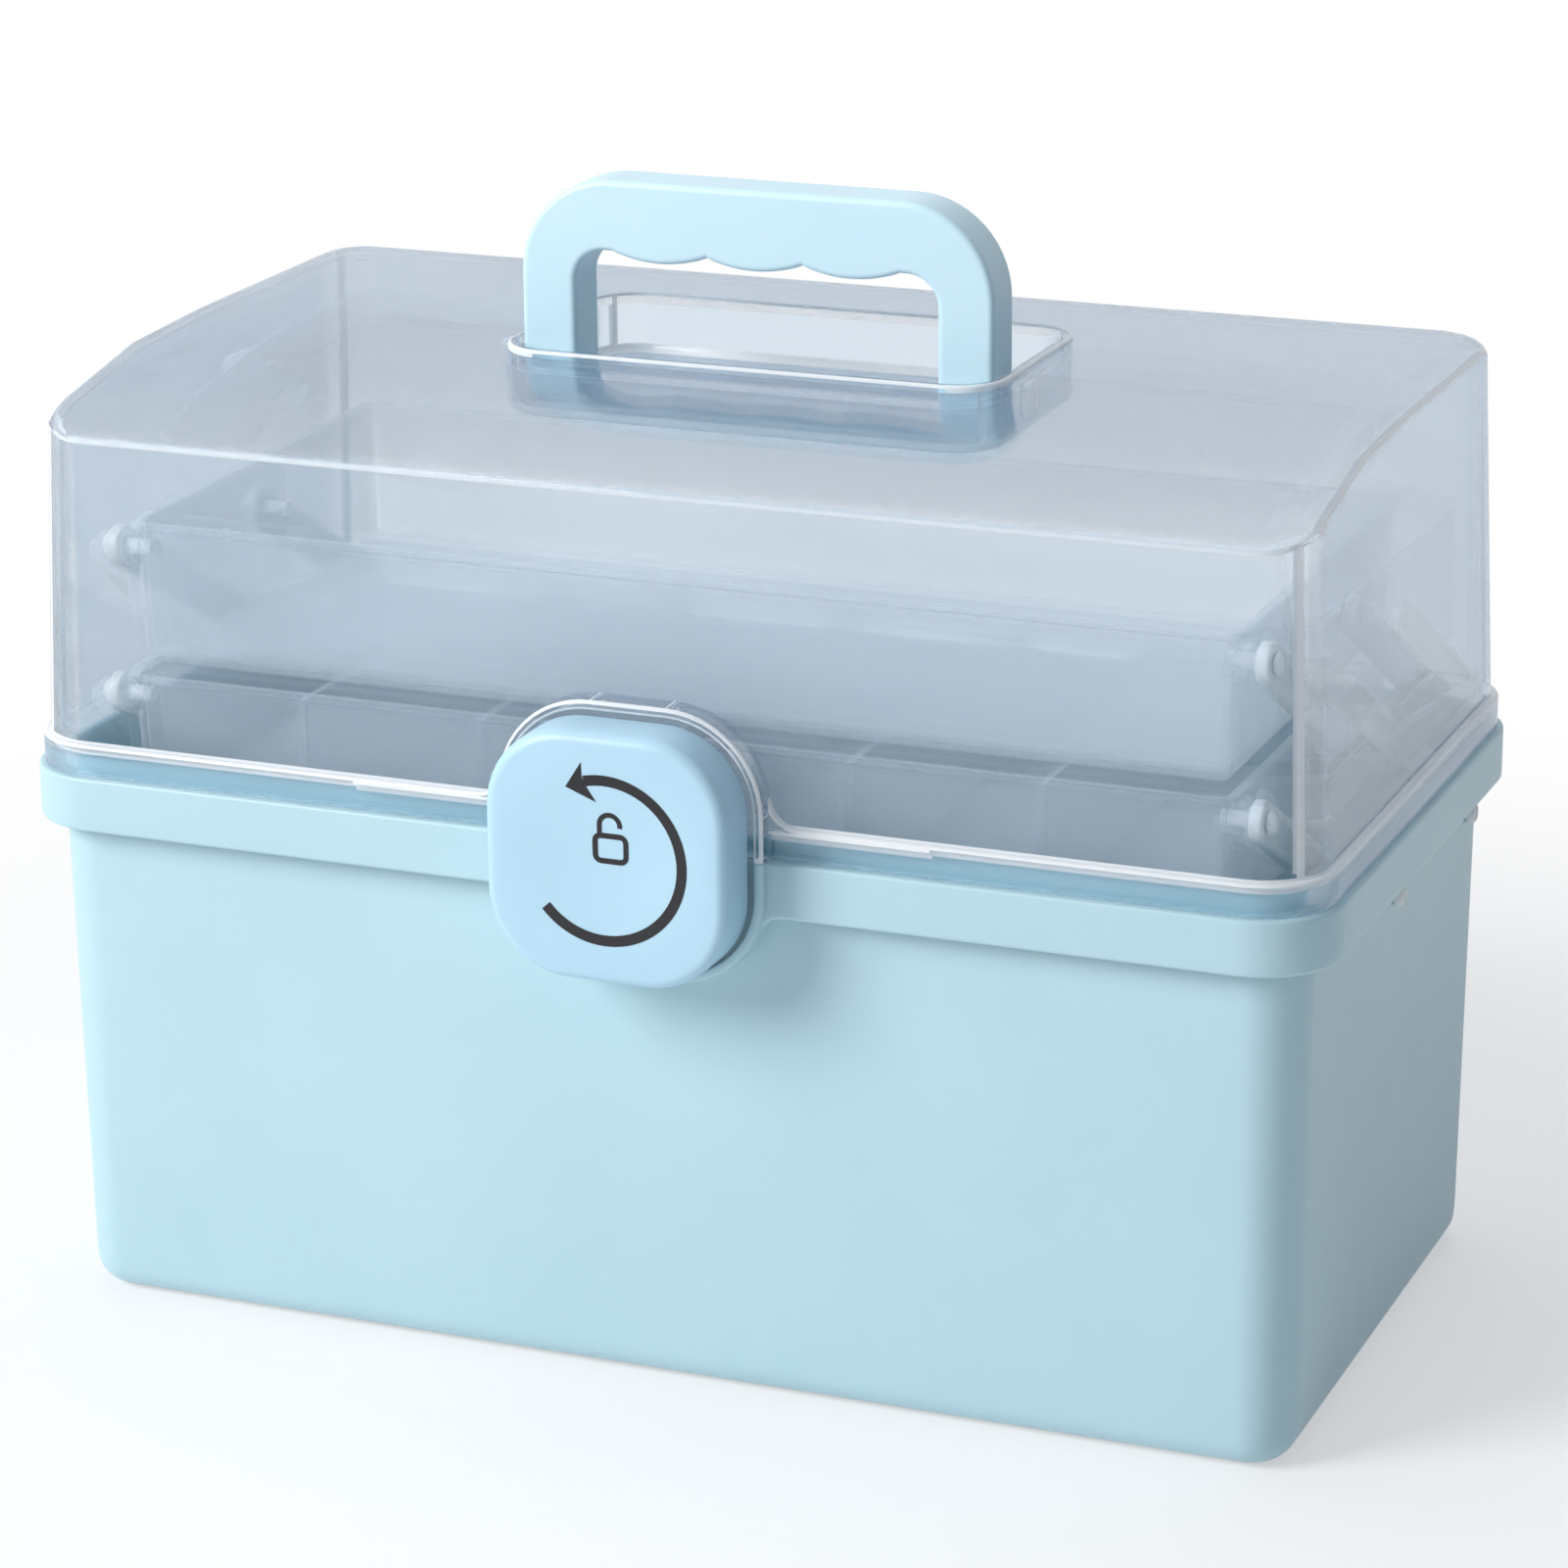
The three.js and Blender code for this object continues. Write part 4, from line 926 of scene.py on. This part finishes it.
INK_PROUD = 0.08  # the print stands this far out of the knob's face
ARROW_RADIUS = 19.6
ARROW_STROKE = 2.6
ARROW_START = 220.0
ARROW_END = 464.0
ARROW_HEAD = ((19.6, 478.7), (24.2, 462.5), (20.8, 464.5), (18.5, 463.5), (14.2, 457.5))  # radius, degrees
ARROW_STEPS = 60
PADLOCK_CENTRE = (1.4, 2.9)
PADLOCK_HALF = (3.9, 3.1)
PADLOCK_CORNER = 1.4
PADLOCK_STROKE = 1.35
SHACKLE_RADIUS = 2.6
SHACKLE_LEG = 2.6
SHACKLE_SHIFT = -0.1
SHACKLE_SWEEP = 190
SHACKLE_STEPS = 16
SHACKLE_STROKE = 1.215


def stroke(bm, path, width, closed=False):
    """A printed line of even width along a path in the front view, with its own thin body."""
    count = len(path)
    pairs = []
    for i, (x, z) in enumerate(path):
        before = path[(i - 1) % count] if closed or i else path[i]
        after = path[(i + 1) % count] if closed or i + 1 < count else path[i]
        dx, dz = after[0] - before[0], after[1] - before[1]
        length = math.hypot(dx, dz)
        nx, nz = -dz / length * width / 2, dx / length * width / 2
        pairs.append(((x + nx, z + nz), (x - nx, z - nz)))
    slices = [[ink_vertex(bm, side, out) for side, out in
               ((left, True), (right, True), (right, False), (left, False))] for left, right in pairs]
    runs = list(zip(slices, slices[1:]))
    if closed:
        runs.append((slices[-1], slices[0]))
    for a, b in runs:
        for i in range(4):
            j = (i + 1) % 4
            bm.faces.new((a[i], a[j], b[j], b[i]))
    if not closed:
        bm.faces.new(slices[0])
        bm.faces.new(slices[-1][::-1])


def ink_vertex(bm, place, out):
    x, z = place
    depth = -INK_PROUD if out else INK_PROUD
    return bm.verts.new((x, KNOB_FACE + dish_depth(x, z) + depth, KNOB_Z + z))


def polar(radius, degrees):
    turn = math.radians(degrees)
    return radius * math.cos(turn), radius * math.sin(turn)


def make_knob_print():
    """A turning arrow and an open padlock, the plain signs for which way unlocks."""
    bm = bmesh.new()
    stroke(bm, [polar(ARROW_RADIUS, ARROW_START + (ARROW_END - ARROW_START) * i / ARROW_STEPS)
                for i in range(ARROW_STEPS + 1)], ARROW_STROKE)
    front, back = ([ink_vertex(bm, polar(*place), out) for place in ARROW_HEAD] for out in (True, False))
    bm.faces.new(front)
    bm.faces.new(back[::-1])
    for i in range(len(front)):
        j = (i + 1) % len(front)
        bm.faces.new((front[j], front[i], back[i], back[j]))
    cx, cz = PADLOCK_CENTRE
    body = [place for place, _ in outline(*PADLOCK_HALF, PADLOCK_CORNER, PADLOCK_CENTRE, steps=4)]
    stroke(bm, body, PADLOCK_STROKE, closed=True)
    middle_x, top_z = cx + SHACKLE_SHIFT, cz + PADLOCK_HALF[1]
    shackle = [(middle_x - SHACKLE_RADIUS, top_z)]
    for i in range(SHACKLE_STEPS + 1):
        x, z = polar(SHACKLE_RADIUS, 180 - SHACKLE_SWEEP * i / SHACKLE_STEPS)
        shackle.append((middle_x + x, top_z + SHACKLE_LEG + z))
    stroke(bm, shackle, SHACKLE_STROKE)
    dress(link_mesh("knob_print", bm), INK, "knob", "blue_plastic")


# Trays


def tray_shell(name, tray):
    """A thin moulded tray: rounded at its foot, with a bead along its rim."""
    low, high = node_box(tray)
    half_y = (high.y - low.y) / 2
    centre = (0.0, (high.y + low.y) / 2)
    height = high.z - low.z
    bead_foot = height - TRAY_BEAD_HEIGHT
    foot_top = TRAY_FOOT_ROUND + TRAY_DRAFT_START
    inside = TRAY_BEAD + TRAY_WALL
    taper = TRAY_BEAD + TRAY_TAPER
    edge = quarter(TRAY_EDGE, 3)
    levels = [(taper + TRAY_FOOT_ROUND + TRAY_CAP_SET, 0)]
    levels += [(taper + u, v) for u, v in quarter(TRAY_FOOT_ROUND, 6)]
    levels += [(TRAY_BEAD + TRAY_TAPER * TRAY_DRAFT_SHARE, foot_top), (TRAY_BEAD, bead_foot - TRAY_EDGE)]
    levels += [(TRAY_BEAD - v, bead_foot + TRAY_EDGE - u) for u, v in edge]
    levels += [(0, bead_foot + 2 * TRAY_EDGE)] + [(v, height - u) for u, v in edge]
    levels += [(inside - u, height - v) for u, v in edge]
    levels.append((inside + TRAY_TAPER * TRAY_DRAFT_SHARE, foot_top))
    levels += [(inside + TRAY_TAPER + u, TRAY_WALL + v)
               for u, v in quarter(TRAY_FOOT_ROUND - TRAY_WALL, 5)[::-1]]
    levels.append((inside + TRAY_TAPER + TRAY_FOOT_ROUND + TRAY_CAP_SET, TRAY_WALL))
    return stack(name, TRAY_HALF_LENGTH, half_y, TRAY_CORNER, [(inset, low.z + z) for inset, z in levels],
                 centre, TRAY_LEAST_CORNER)


def make_tray(name, tray, pins):
    piece = tray_shell(name, tray)
    bosses = []
    for pin in pins:
        bosses += both_ends(bar_x("tray_boss", BOSS_RADIUS, *pin_place(pin + "_right"),
                                  BOSS_FACE - BOSS_LENGTH, BOSS_FACE, BAR_EDGE))
    add(piece, *bosses)
    dress(piece, TRAY_CLEAR, tray, "clear_plastic", tray)


def new_tree(name, sizes):
    """A Geometry Nodes tree with named lengths as inputs. Returns the tree and its two ends."""
    tree = bpy.data.node_groups.new(name, "GeometryNodeTree")
    tree.interface.new_socket("Geometry", in_out="INPUT", socket_type="NodeSocketGeometry")
    for size in sizes:
        tree.interface.new_socket(size, in_out="INPUT", socket_type="NodeSocketFloat")
    tree.interface.new_socket("Geometry", in_out="OUTPUT", socket_type="NodeSocketGeometry")
    return tree, node(tree, "NodeGroupInput"), node(tree, "NodeGroupOutput")


def run_tree(source, tree, sizes):
    """Runs a Geometry Nodes tree on a source object and keeps the result as a plain mesh."""
    change = source.modifiers.new("build", "NODES")
    change.node_group = tree
    sockets = {item.name: item.identifier for item in tree.interface.items_tree if item.in_out == "INPUT"}
    for size, value in sizes.items():
        change[sockets[size]] = value * MM
    apply_modifiers(source)
    source.data.name = source.name
    return source


def end_tree(tree, geometry, material, end):
    """Ends a tree with plain faces in their material."""
    real = node(tree, "GeometryNodeRealizeInstances", [("Geometry", geometry)])
    dressed = node(tree, "GeometryNodeSetMaterial", [("Geometry", real)], Material=material)
    tree.links.new(dressed.outputs[0], end.inputs[0])
    return tree


def cross_wall_tree():
    """Upright walls, set along a line at an even pitch."""
    tree, start, end = new_tree("cross_walls", ("Pitch", "Wall", "Depth", "Height"))
    out = start.outputs
    size = node(tree, "ShaderNodeCombineXYZ", [("X", out["Wall"]), ("Y", out["Depth"]), ("Z", out["Height"])])
    wall = node(tree, "GeometryNodeMeshCube", [("Size", size)], Vertices_X=2, Vertices_Y=12, Vertices_Z=6)
    step = node(tree, "ShaderNodeCombineXYZ", [("X", out["Pitch"])])
    first = node(tree, "ShaderNodeVectorMath", [(0, step)], operation="SCALE", Scale=-(TRAY_CELLS - 2) / 2)
    line = node(tree, "GeometryNodeMeshLine", [("Start Location", first), ("Offset", step)],
                Count=TRAY_CELLS - 1)
    walls = node(tree, "GeometryNodeInstanceOnPoints", [("Points", line), ("Instance", wall)])
    return end_tree(tree, walls, TRAY_CLEAR, end)


def make_cross_walls():
    low, high = node_box("middle_tray")
    depth = high.y - low.y - 2 * TRAY_BEAD - TRAY_WALL - CROSS_WALL_SET
    height = high.z - low.z - TRAY_BEAD_HEIGHT - TRAY_WALL / 2
    sizes = {"Pitch": 2 * TRAY_HALF_LENGTH / TRAY_CELLS, "Wall": TRAY_WALL, "Depth": depth, "Height": height}
    bm = bmesh.new()
    bm.verts.new((0, 0, 0))
    piece = run_tree(link_mesh("tray_cross_walls", bm), cross_wall_tree(), sizes)
    middle = Vector((0, (low.y + high.y) / 2, low.z + TRAY_WALL / 2 + height / 2))
    piece.data.transform(Matrix.Translation(middle * MM))
    dress(piece, TRAY_CLEAR, "middle_tray", "clear_plastic")


# Arms and rails


def bar_ring(a, b, radius, x):
    """A bar's outline in the side view: straight sides and half-round ends."""
    turn = math.atan2(b[1] - a[1], b[0] - a[0])
    ring = []
    for (cy, cz), start in ((b, turn - math.pi / 2), (a, turn + math.pi / 2)):
        for i in range(BAR_END_STEPS + 1):
            t = start + math.pi * i / BAR_END_STEPS
            ring.append((x, cy + radius * math.cos(t), cz + radius * math.sin(t)))
    return ring


def link_bar(name, a, b, width, x0, x1, bores):
    """A flat moulded bar with soft edges, a trough along its outer face and a bore at each pin."""
    half = width / 2
    rings = [bar_ring(a, b, half - u, x0 + v) for u, v in quarter(ARM_EDGE, 3)]
    rings += [bar_ring(a, b, half - v, x1 - u) for u, v in quarter(ARM_EDGE, 3)]
    piece = loft(name, rings)
    line = Vector(b) - Vector(a)
    inwards = line.normalized() * width * TROUGH_END_SHARE
    floor, trough_half = x1 - (x1 - x0) / 4, half - TROUGH_RIM
    levels = ((trough_half - TROUGH_SLOPE, floor), (trough_half, floor + TROUGH_SLOPE / 2),
              (trough_half + TROUGH_SLOPE / 2, x1 + OVERRUN))
    cutters = [loft("trough", [bar_ring(Vector(a) + inwards, Vector(b) - inwards, radius, x)
                               for radius, x in levels])]
    cutters += [bar_x("bore", radius, *place, x0 - OVERRUN, x1 + OVERRUN) for place, radius in bores]
    return cut(piece, *cutters)


def make_link(name, foot_pin, head_pin, foot_radius):
    """An arm at each end of the box."""
    low, high = node_box(name + "_right")
    foot, head = pin_place(foot_pin + "_right"), pin_place(head_pin + "_right")
    bores = [(foot, foot_radius + BORE_GAP), (head, PIN_RADIUS + BORE_GAP)]
    right = link_bar(name + "_moulding_right", foot, head, ARM_WIDTH, low.x, high.x, bores)
    dress_twins(right, name + "_moulding_left", name + "s", name)


def make_rails():
    """The bar on each side of the middle tray, with stubs that the upper arms turn on."""
    low, high = node_box("tray_rail_right")
    places = [pin_place(pin + "_right") for pin in ("middle_rear_pin", "rail_end_pin", "rail_screw")]
    rail = link_bar("rail_moulding_right", *places[:2], RAIL_WIDTH, high.x - RAIL_LAYER, high.x, [])
    add(rail, *[bar_x("stub", STUB_RADIUS, *place, low.x, high.x - RAIL_LAYER / 2) for place in places])
    cut(rail, *[bar_x("bore", PIN_RADIUS + BORE_GAP, *place, low.x - OVERRUN, high.x + OVERRUN)
                for place in places])
    dress_twins(rail, "rail_moulding_left", "middle_tray", "tray_rail")


# Pins


def pin_head_mesh():
    """A domed snap head with a slot across it, pointing along +X from the origin."""
    profile = [(0, PIN_HEAD - PIN_HEAD_EDGE), (PIN_HEAD_EDGE, PIN_HEAD)]
    profile += [(PIN_DOME_FOOT + (PIN_HEAD_RISE - PIN_DOME_FOOT) * s,
                 PIN_HEAD * (PIN_CROWN_SHARE + (1 - PIN_CROWN_SHARE) * c)) for s, c in arc(5)]
    head = loft("pin_head", [[(x, y, z) for y, z in circle(r, PIN_STEPS)] for x, r in profile])
    half, long = PIN_SLOT / 2, PIN_HEAD + OVERRUN
    return cut(head, block("slot", PIN_HEAD_RISE / 3, PIN_HEAD_RISE + OVERRUN, -half, half, -long, long))


def pin_tree(head):
    """A head and a shank on each point. Its side turns it, its shank is the length and its width
    widens the head."""
    tree, start, end = new_tree("split_pins", ("Radius",))
    points = ("Points", start.outputs["Geometry"])
    side, shank, width = (
        node(tree, "GeometryNodeInputNamedAttribute", data_type="FLOAT", Name=fact).outputs["Attribute"]
        for fact in PIN_FACTS)
    turn = node(tree, "ShaderNodeMath", [(0, side), (1, math.pi)], operation="MULTIPLY")
    spin = ("Rotation", node(tree, "ShaderNodeCombineXYZ", [("Z", turn)]))
    source = node(tree, "GeometryNodeObjectInfo", Object=head)
    head_size = node(tree, "ShaderNodeCombineXYZ", [("Y", width), ("Z", width)], X=1.0)
    heads = node(tree, "GeometryNodeInstanceOnPoints",
                 [points, ("Instance", source.outputs["Geometry"]), spin, ("Scale", head_size)])
    rod = node(tree, "GeometryNodeMeshCylinder", [("Radius", start.outputs["Radius"])], Vertices=PIN_STEPS,
               Depth=MM)
    lie = node(tree, "GeometryNodeTransform", [("Geometry", rod)], Translation=(-MM / 2, 0, 0),
               Rotation=(0, math.pi / 2, 0))
    rod_size = node(tree, "ShaderNodeCombineXYZ", [("X", shank)], Y=1.0, Z=1.0)
    rods = node(tree, "GeometryNodeInstanceOnPoints", [points, ("Instance", lie), spin, ("Scale", rod_size)])
    both = node(tree, "GeometryNodeJoinGeometry", [(0, heads), (0, rods)])
    return end_tree(tree, both, WHITE, end)


def make_pins(tree, name, body, pins, radius=PIN_RADIUS, head=PIN_HEAD):
    """All the pins of one body, each where its node is."""
    bm = bmesh.new()
    facts = []
    for pin in pins:
        for side, sign in (("_right", 1), ("_left", -1)):
            low, high = node_box(pin + side)
            outer = max(abs(low.x), abs(high.x)) - PIN_HEAD_RISE
            inner = min(abs(low.x), abs(high.x))
            bm.verts.new((sign * outer, *pin_place(pin + side)))
            facts.append((0.0 if sign > 0 else 1.0, outer - inner + PIN_LAP, head / PIN_HEAD))
    source = link_mesh(name, bm)
    for fact, values in zip(PIN_FACTS, zip(*facts)):
        source.data.attributes.new(fact, "FLOAT", "POINT").data.foreach_set("value", values)
    piece = run_tree(source, tree, {"Radius": radius})
    nodes = [pin + side for pin in pins for side in ("_right", "_left")]
    dress(piece, WHITE, body, "white_plastic", *nodes)


# The whole part

make_tub()
make_lid()
make_handle()
make_knob()
make_knob_print()
make_tray("top_tray_shell", "top_tray", ("top_front_pin", "top_rear_pin"))
make_tray("middle_tray_shell", "middle_tray", ("middle_front_pin", "middle_rear_pin", "rail_screw"))
make_cross_walls()

for arm, foot_pin, head_pin, foot_radius in (
        ("lower_front_arm", "base_front_pin", "middle_front_pin", PIN_RADIUS),
        ("lower_rear_arm", "base_rear_pin", "middle_rear_pin", PIN_RADIUS),
        ("upper_front_arm", "middle_rear_pin", "top_front_pin", STUB_RADIUS),
        ("upper_rear_arm", "rail_end_pin", "top_rear_pin", STUB_RADIUS)):
    make_link(arm, foot_pin, head_pin, foot_radius)
make_rails()

pin_head = pin_head_mesh()
pins = pin_tree(pin_head)
make_pins(pins, "base_pins", "base", ("base_front_pin", "base_rear_pin"))
make_pins(pins, "middle_tray_pins", "middle_tray",
          ("middle_front_pin", "middle_rear_pin", "rail_end_pin", "rail_screw"))
make_pins(pins, "top_tray_pins", "top_tray", ("top_front_pin", "top_rear_pin"))
make_pins(pins, "handle_pins", "lid", ("handle_pin",), HANDLE_PIN_RADIUS, HANDLE_PIN_HEAD)
bpy.data.objects.remove(pin_head)

for name, material in (("lock_cam", WHITE), ("lock_axle_screw", STEEL), ("lock_washer", STEEL),
                       ("hinge_pin_left", STEEL), ("hinge_pin_right", STEEL)):
    carried = frame["nodes"][name]
    for slot in carried.material_slots:
        slot.material = material


# Floor, light and camera


FLOOR_REACH = 4000
FLOOR_DROP = 0.2
CAMERA_ANGLES = (22.08, 17.95, -0.49)  # round the box, up and rolled, in degrees
CAMERA_HEIGHT = 128.1  # of the point it looks at
CAMERA_ACROSS = 1.78
CAMERA_DISTANCE = 1299.5
CAMERA_SENSOR = 36.0
CAMERA_LENS = 118.92


def make_floor():
    """A pale floor that is plain white to every sight ray away from the box, so that only the
    shadow beside the box shows."""
    bm = bmesh.new()
    corners = [(-1, -1), (1, -1), (1, 1), (-1, 1)]
    bm.faces.new([bm.verts.new((x * FLOOR_REACH, y * FLOOR_REACH, -FLOOR_DROP)) for x, y in corners])
    floor = link_mesh("floor", bm)
    material, tree, at = new_material("pale_floor")
    away = node(tree, "ShaderNodeVectorMath", at, operation="LENGTH")
    fade = node(tree, "ShaderNodeMapRange", [("Value", away.outputs["Value"])],
                interpolation_type="SMOOTHSTEP", From_Min=0.2, From_Max=0.55, To_Min=0.5)
    share = node(tree, "ShaderNodeMath", [(0, sight_rays(tree)), (1, fade)], operation="MULTIPLY")
    matt = node(tree, "ShaderNodeBsdfDiffuse", Color=srgb("#FBFCFD"))
    glow = node(tree, "ShaderNodeEmission", Color=srgb("#FFFFFF"))
    mix = node(tree, "ShaderNodeMixShader", [(0, share), (1, matt), (2, glow)])
    floor.data.materials.append(finish_material(material, tree, mix))


def sight_rays(tree):
    """One where the camera, a gloss or a clear wall looks, and zero for the light on a surface."""
    rays = node(tree, "ShaderNodeLightPath").outputs
    seen = node(tree, "ShaderNodeMath", [(0, rays["Is Camera Ray"]), (1, rays["Is Glossy Ray"])],
                operation="MAXIMUM")
    return node(tree, "ShaderNodeMath", [(0, seen), (1, rays["Is Transmission Ray"])], operation="MAXIMUM")


def make_world():
    """Even pale light, and plain white wherever it is seen."""
    world = bpy.data.worlds.new("studio")
    world.use_nodes = True
    tree = world.node_tree
    tree.nodes.clear()
    light = node(tree, "ShaderNodeBackground", Strength=0.25, Color=srgb("#E2F0FF"))
    white = node(tree, "ShaderNodeBackground", Strength=1.0, Color=srgb("#FFFFFF"))
    mix = node(tree, "ShaderNodeMixShader", [(0, sight_rays(tree)), (1, light), (2, white)])
    node(tree, "ShaderNodeOutputWorld", [("Surface", mix)])
    bpy.context.scene.world = world


def area_light(name, place, target, size, watts):
    """A round lamp. Its place, target and size are in metres."""
    light = bpy.data.lights.new(name, "AREA")
    light.shape = "DISK"
    light.size = size
    light.energy = watts
    lamp = bpy.data.objects.new(name, light)
    lamp.location = place
    lamp.rotation_mode = "QUATERNION"
    lamp.rotation_quaternion = (Vector(target) - Vector(place)).to_track_quat("-Z", "Y")
    bpy.context.scene.collection.objects.link(lamp)
    return lamp


def make_camera():
    """The photograph's view, from the front and a little to the right, through a long lens."""
    azimuth, elevation, roll = (math.radians(angle) for angle in CAMERA_ANGLES)
    level = math.cos(elevation)
    back = Vector((math.sin(azimuth) * level, -math.cos(azimuth) * level, math.sin(elevation)))
    right = Vector((math.cos(azimuth), math.sin(azimuth), 0))
    up = back.cross(right)
    turned_right = math.cos(roll) * right + math.sin(roll) * up
    turned_up = -math.sin(roll) * right + math.cos(roll) * up
    data = bpy.data.cameras.new("camera")
    data.sensor_width = CAMERA_SENSOR
    data.lens = CAMERA_LENS
    data.clip_start, data.clip_end = 0.05, 50.0
    camera = bpy.data.objects.new("camera", data)
    place = (Vector((0, 0, CAMERA_HEIGHT)) + right * CAMERA_ACROSS + back * CAMERA_DISTANCE) * MM
    axes = Matrix((turned_right, turned_up, back)).transposed()
    camera.matrix_world = Matrix.Translation(place) @ axes.to_4x4()
    bpy.context.scene.collection.objects.link(camera)
    bpy.context.scene.camera = camera


make_floor()
make_world()
area_light("key", (-1.35, -1.45, 1.25), (0, 0, 0.12), 1.2, 44)
area_light("top", (-0.2, 0.3, 1.8), (0, 0, 0.1), 1.4, 10).visible_glossy = False
make_camera()

scene = bpy.context.scene
scene.view_settings.view_transform = "Standard"
scene.cycles.transparent_max_bounces = 32
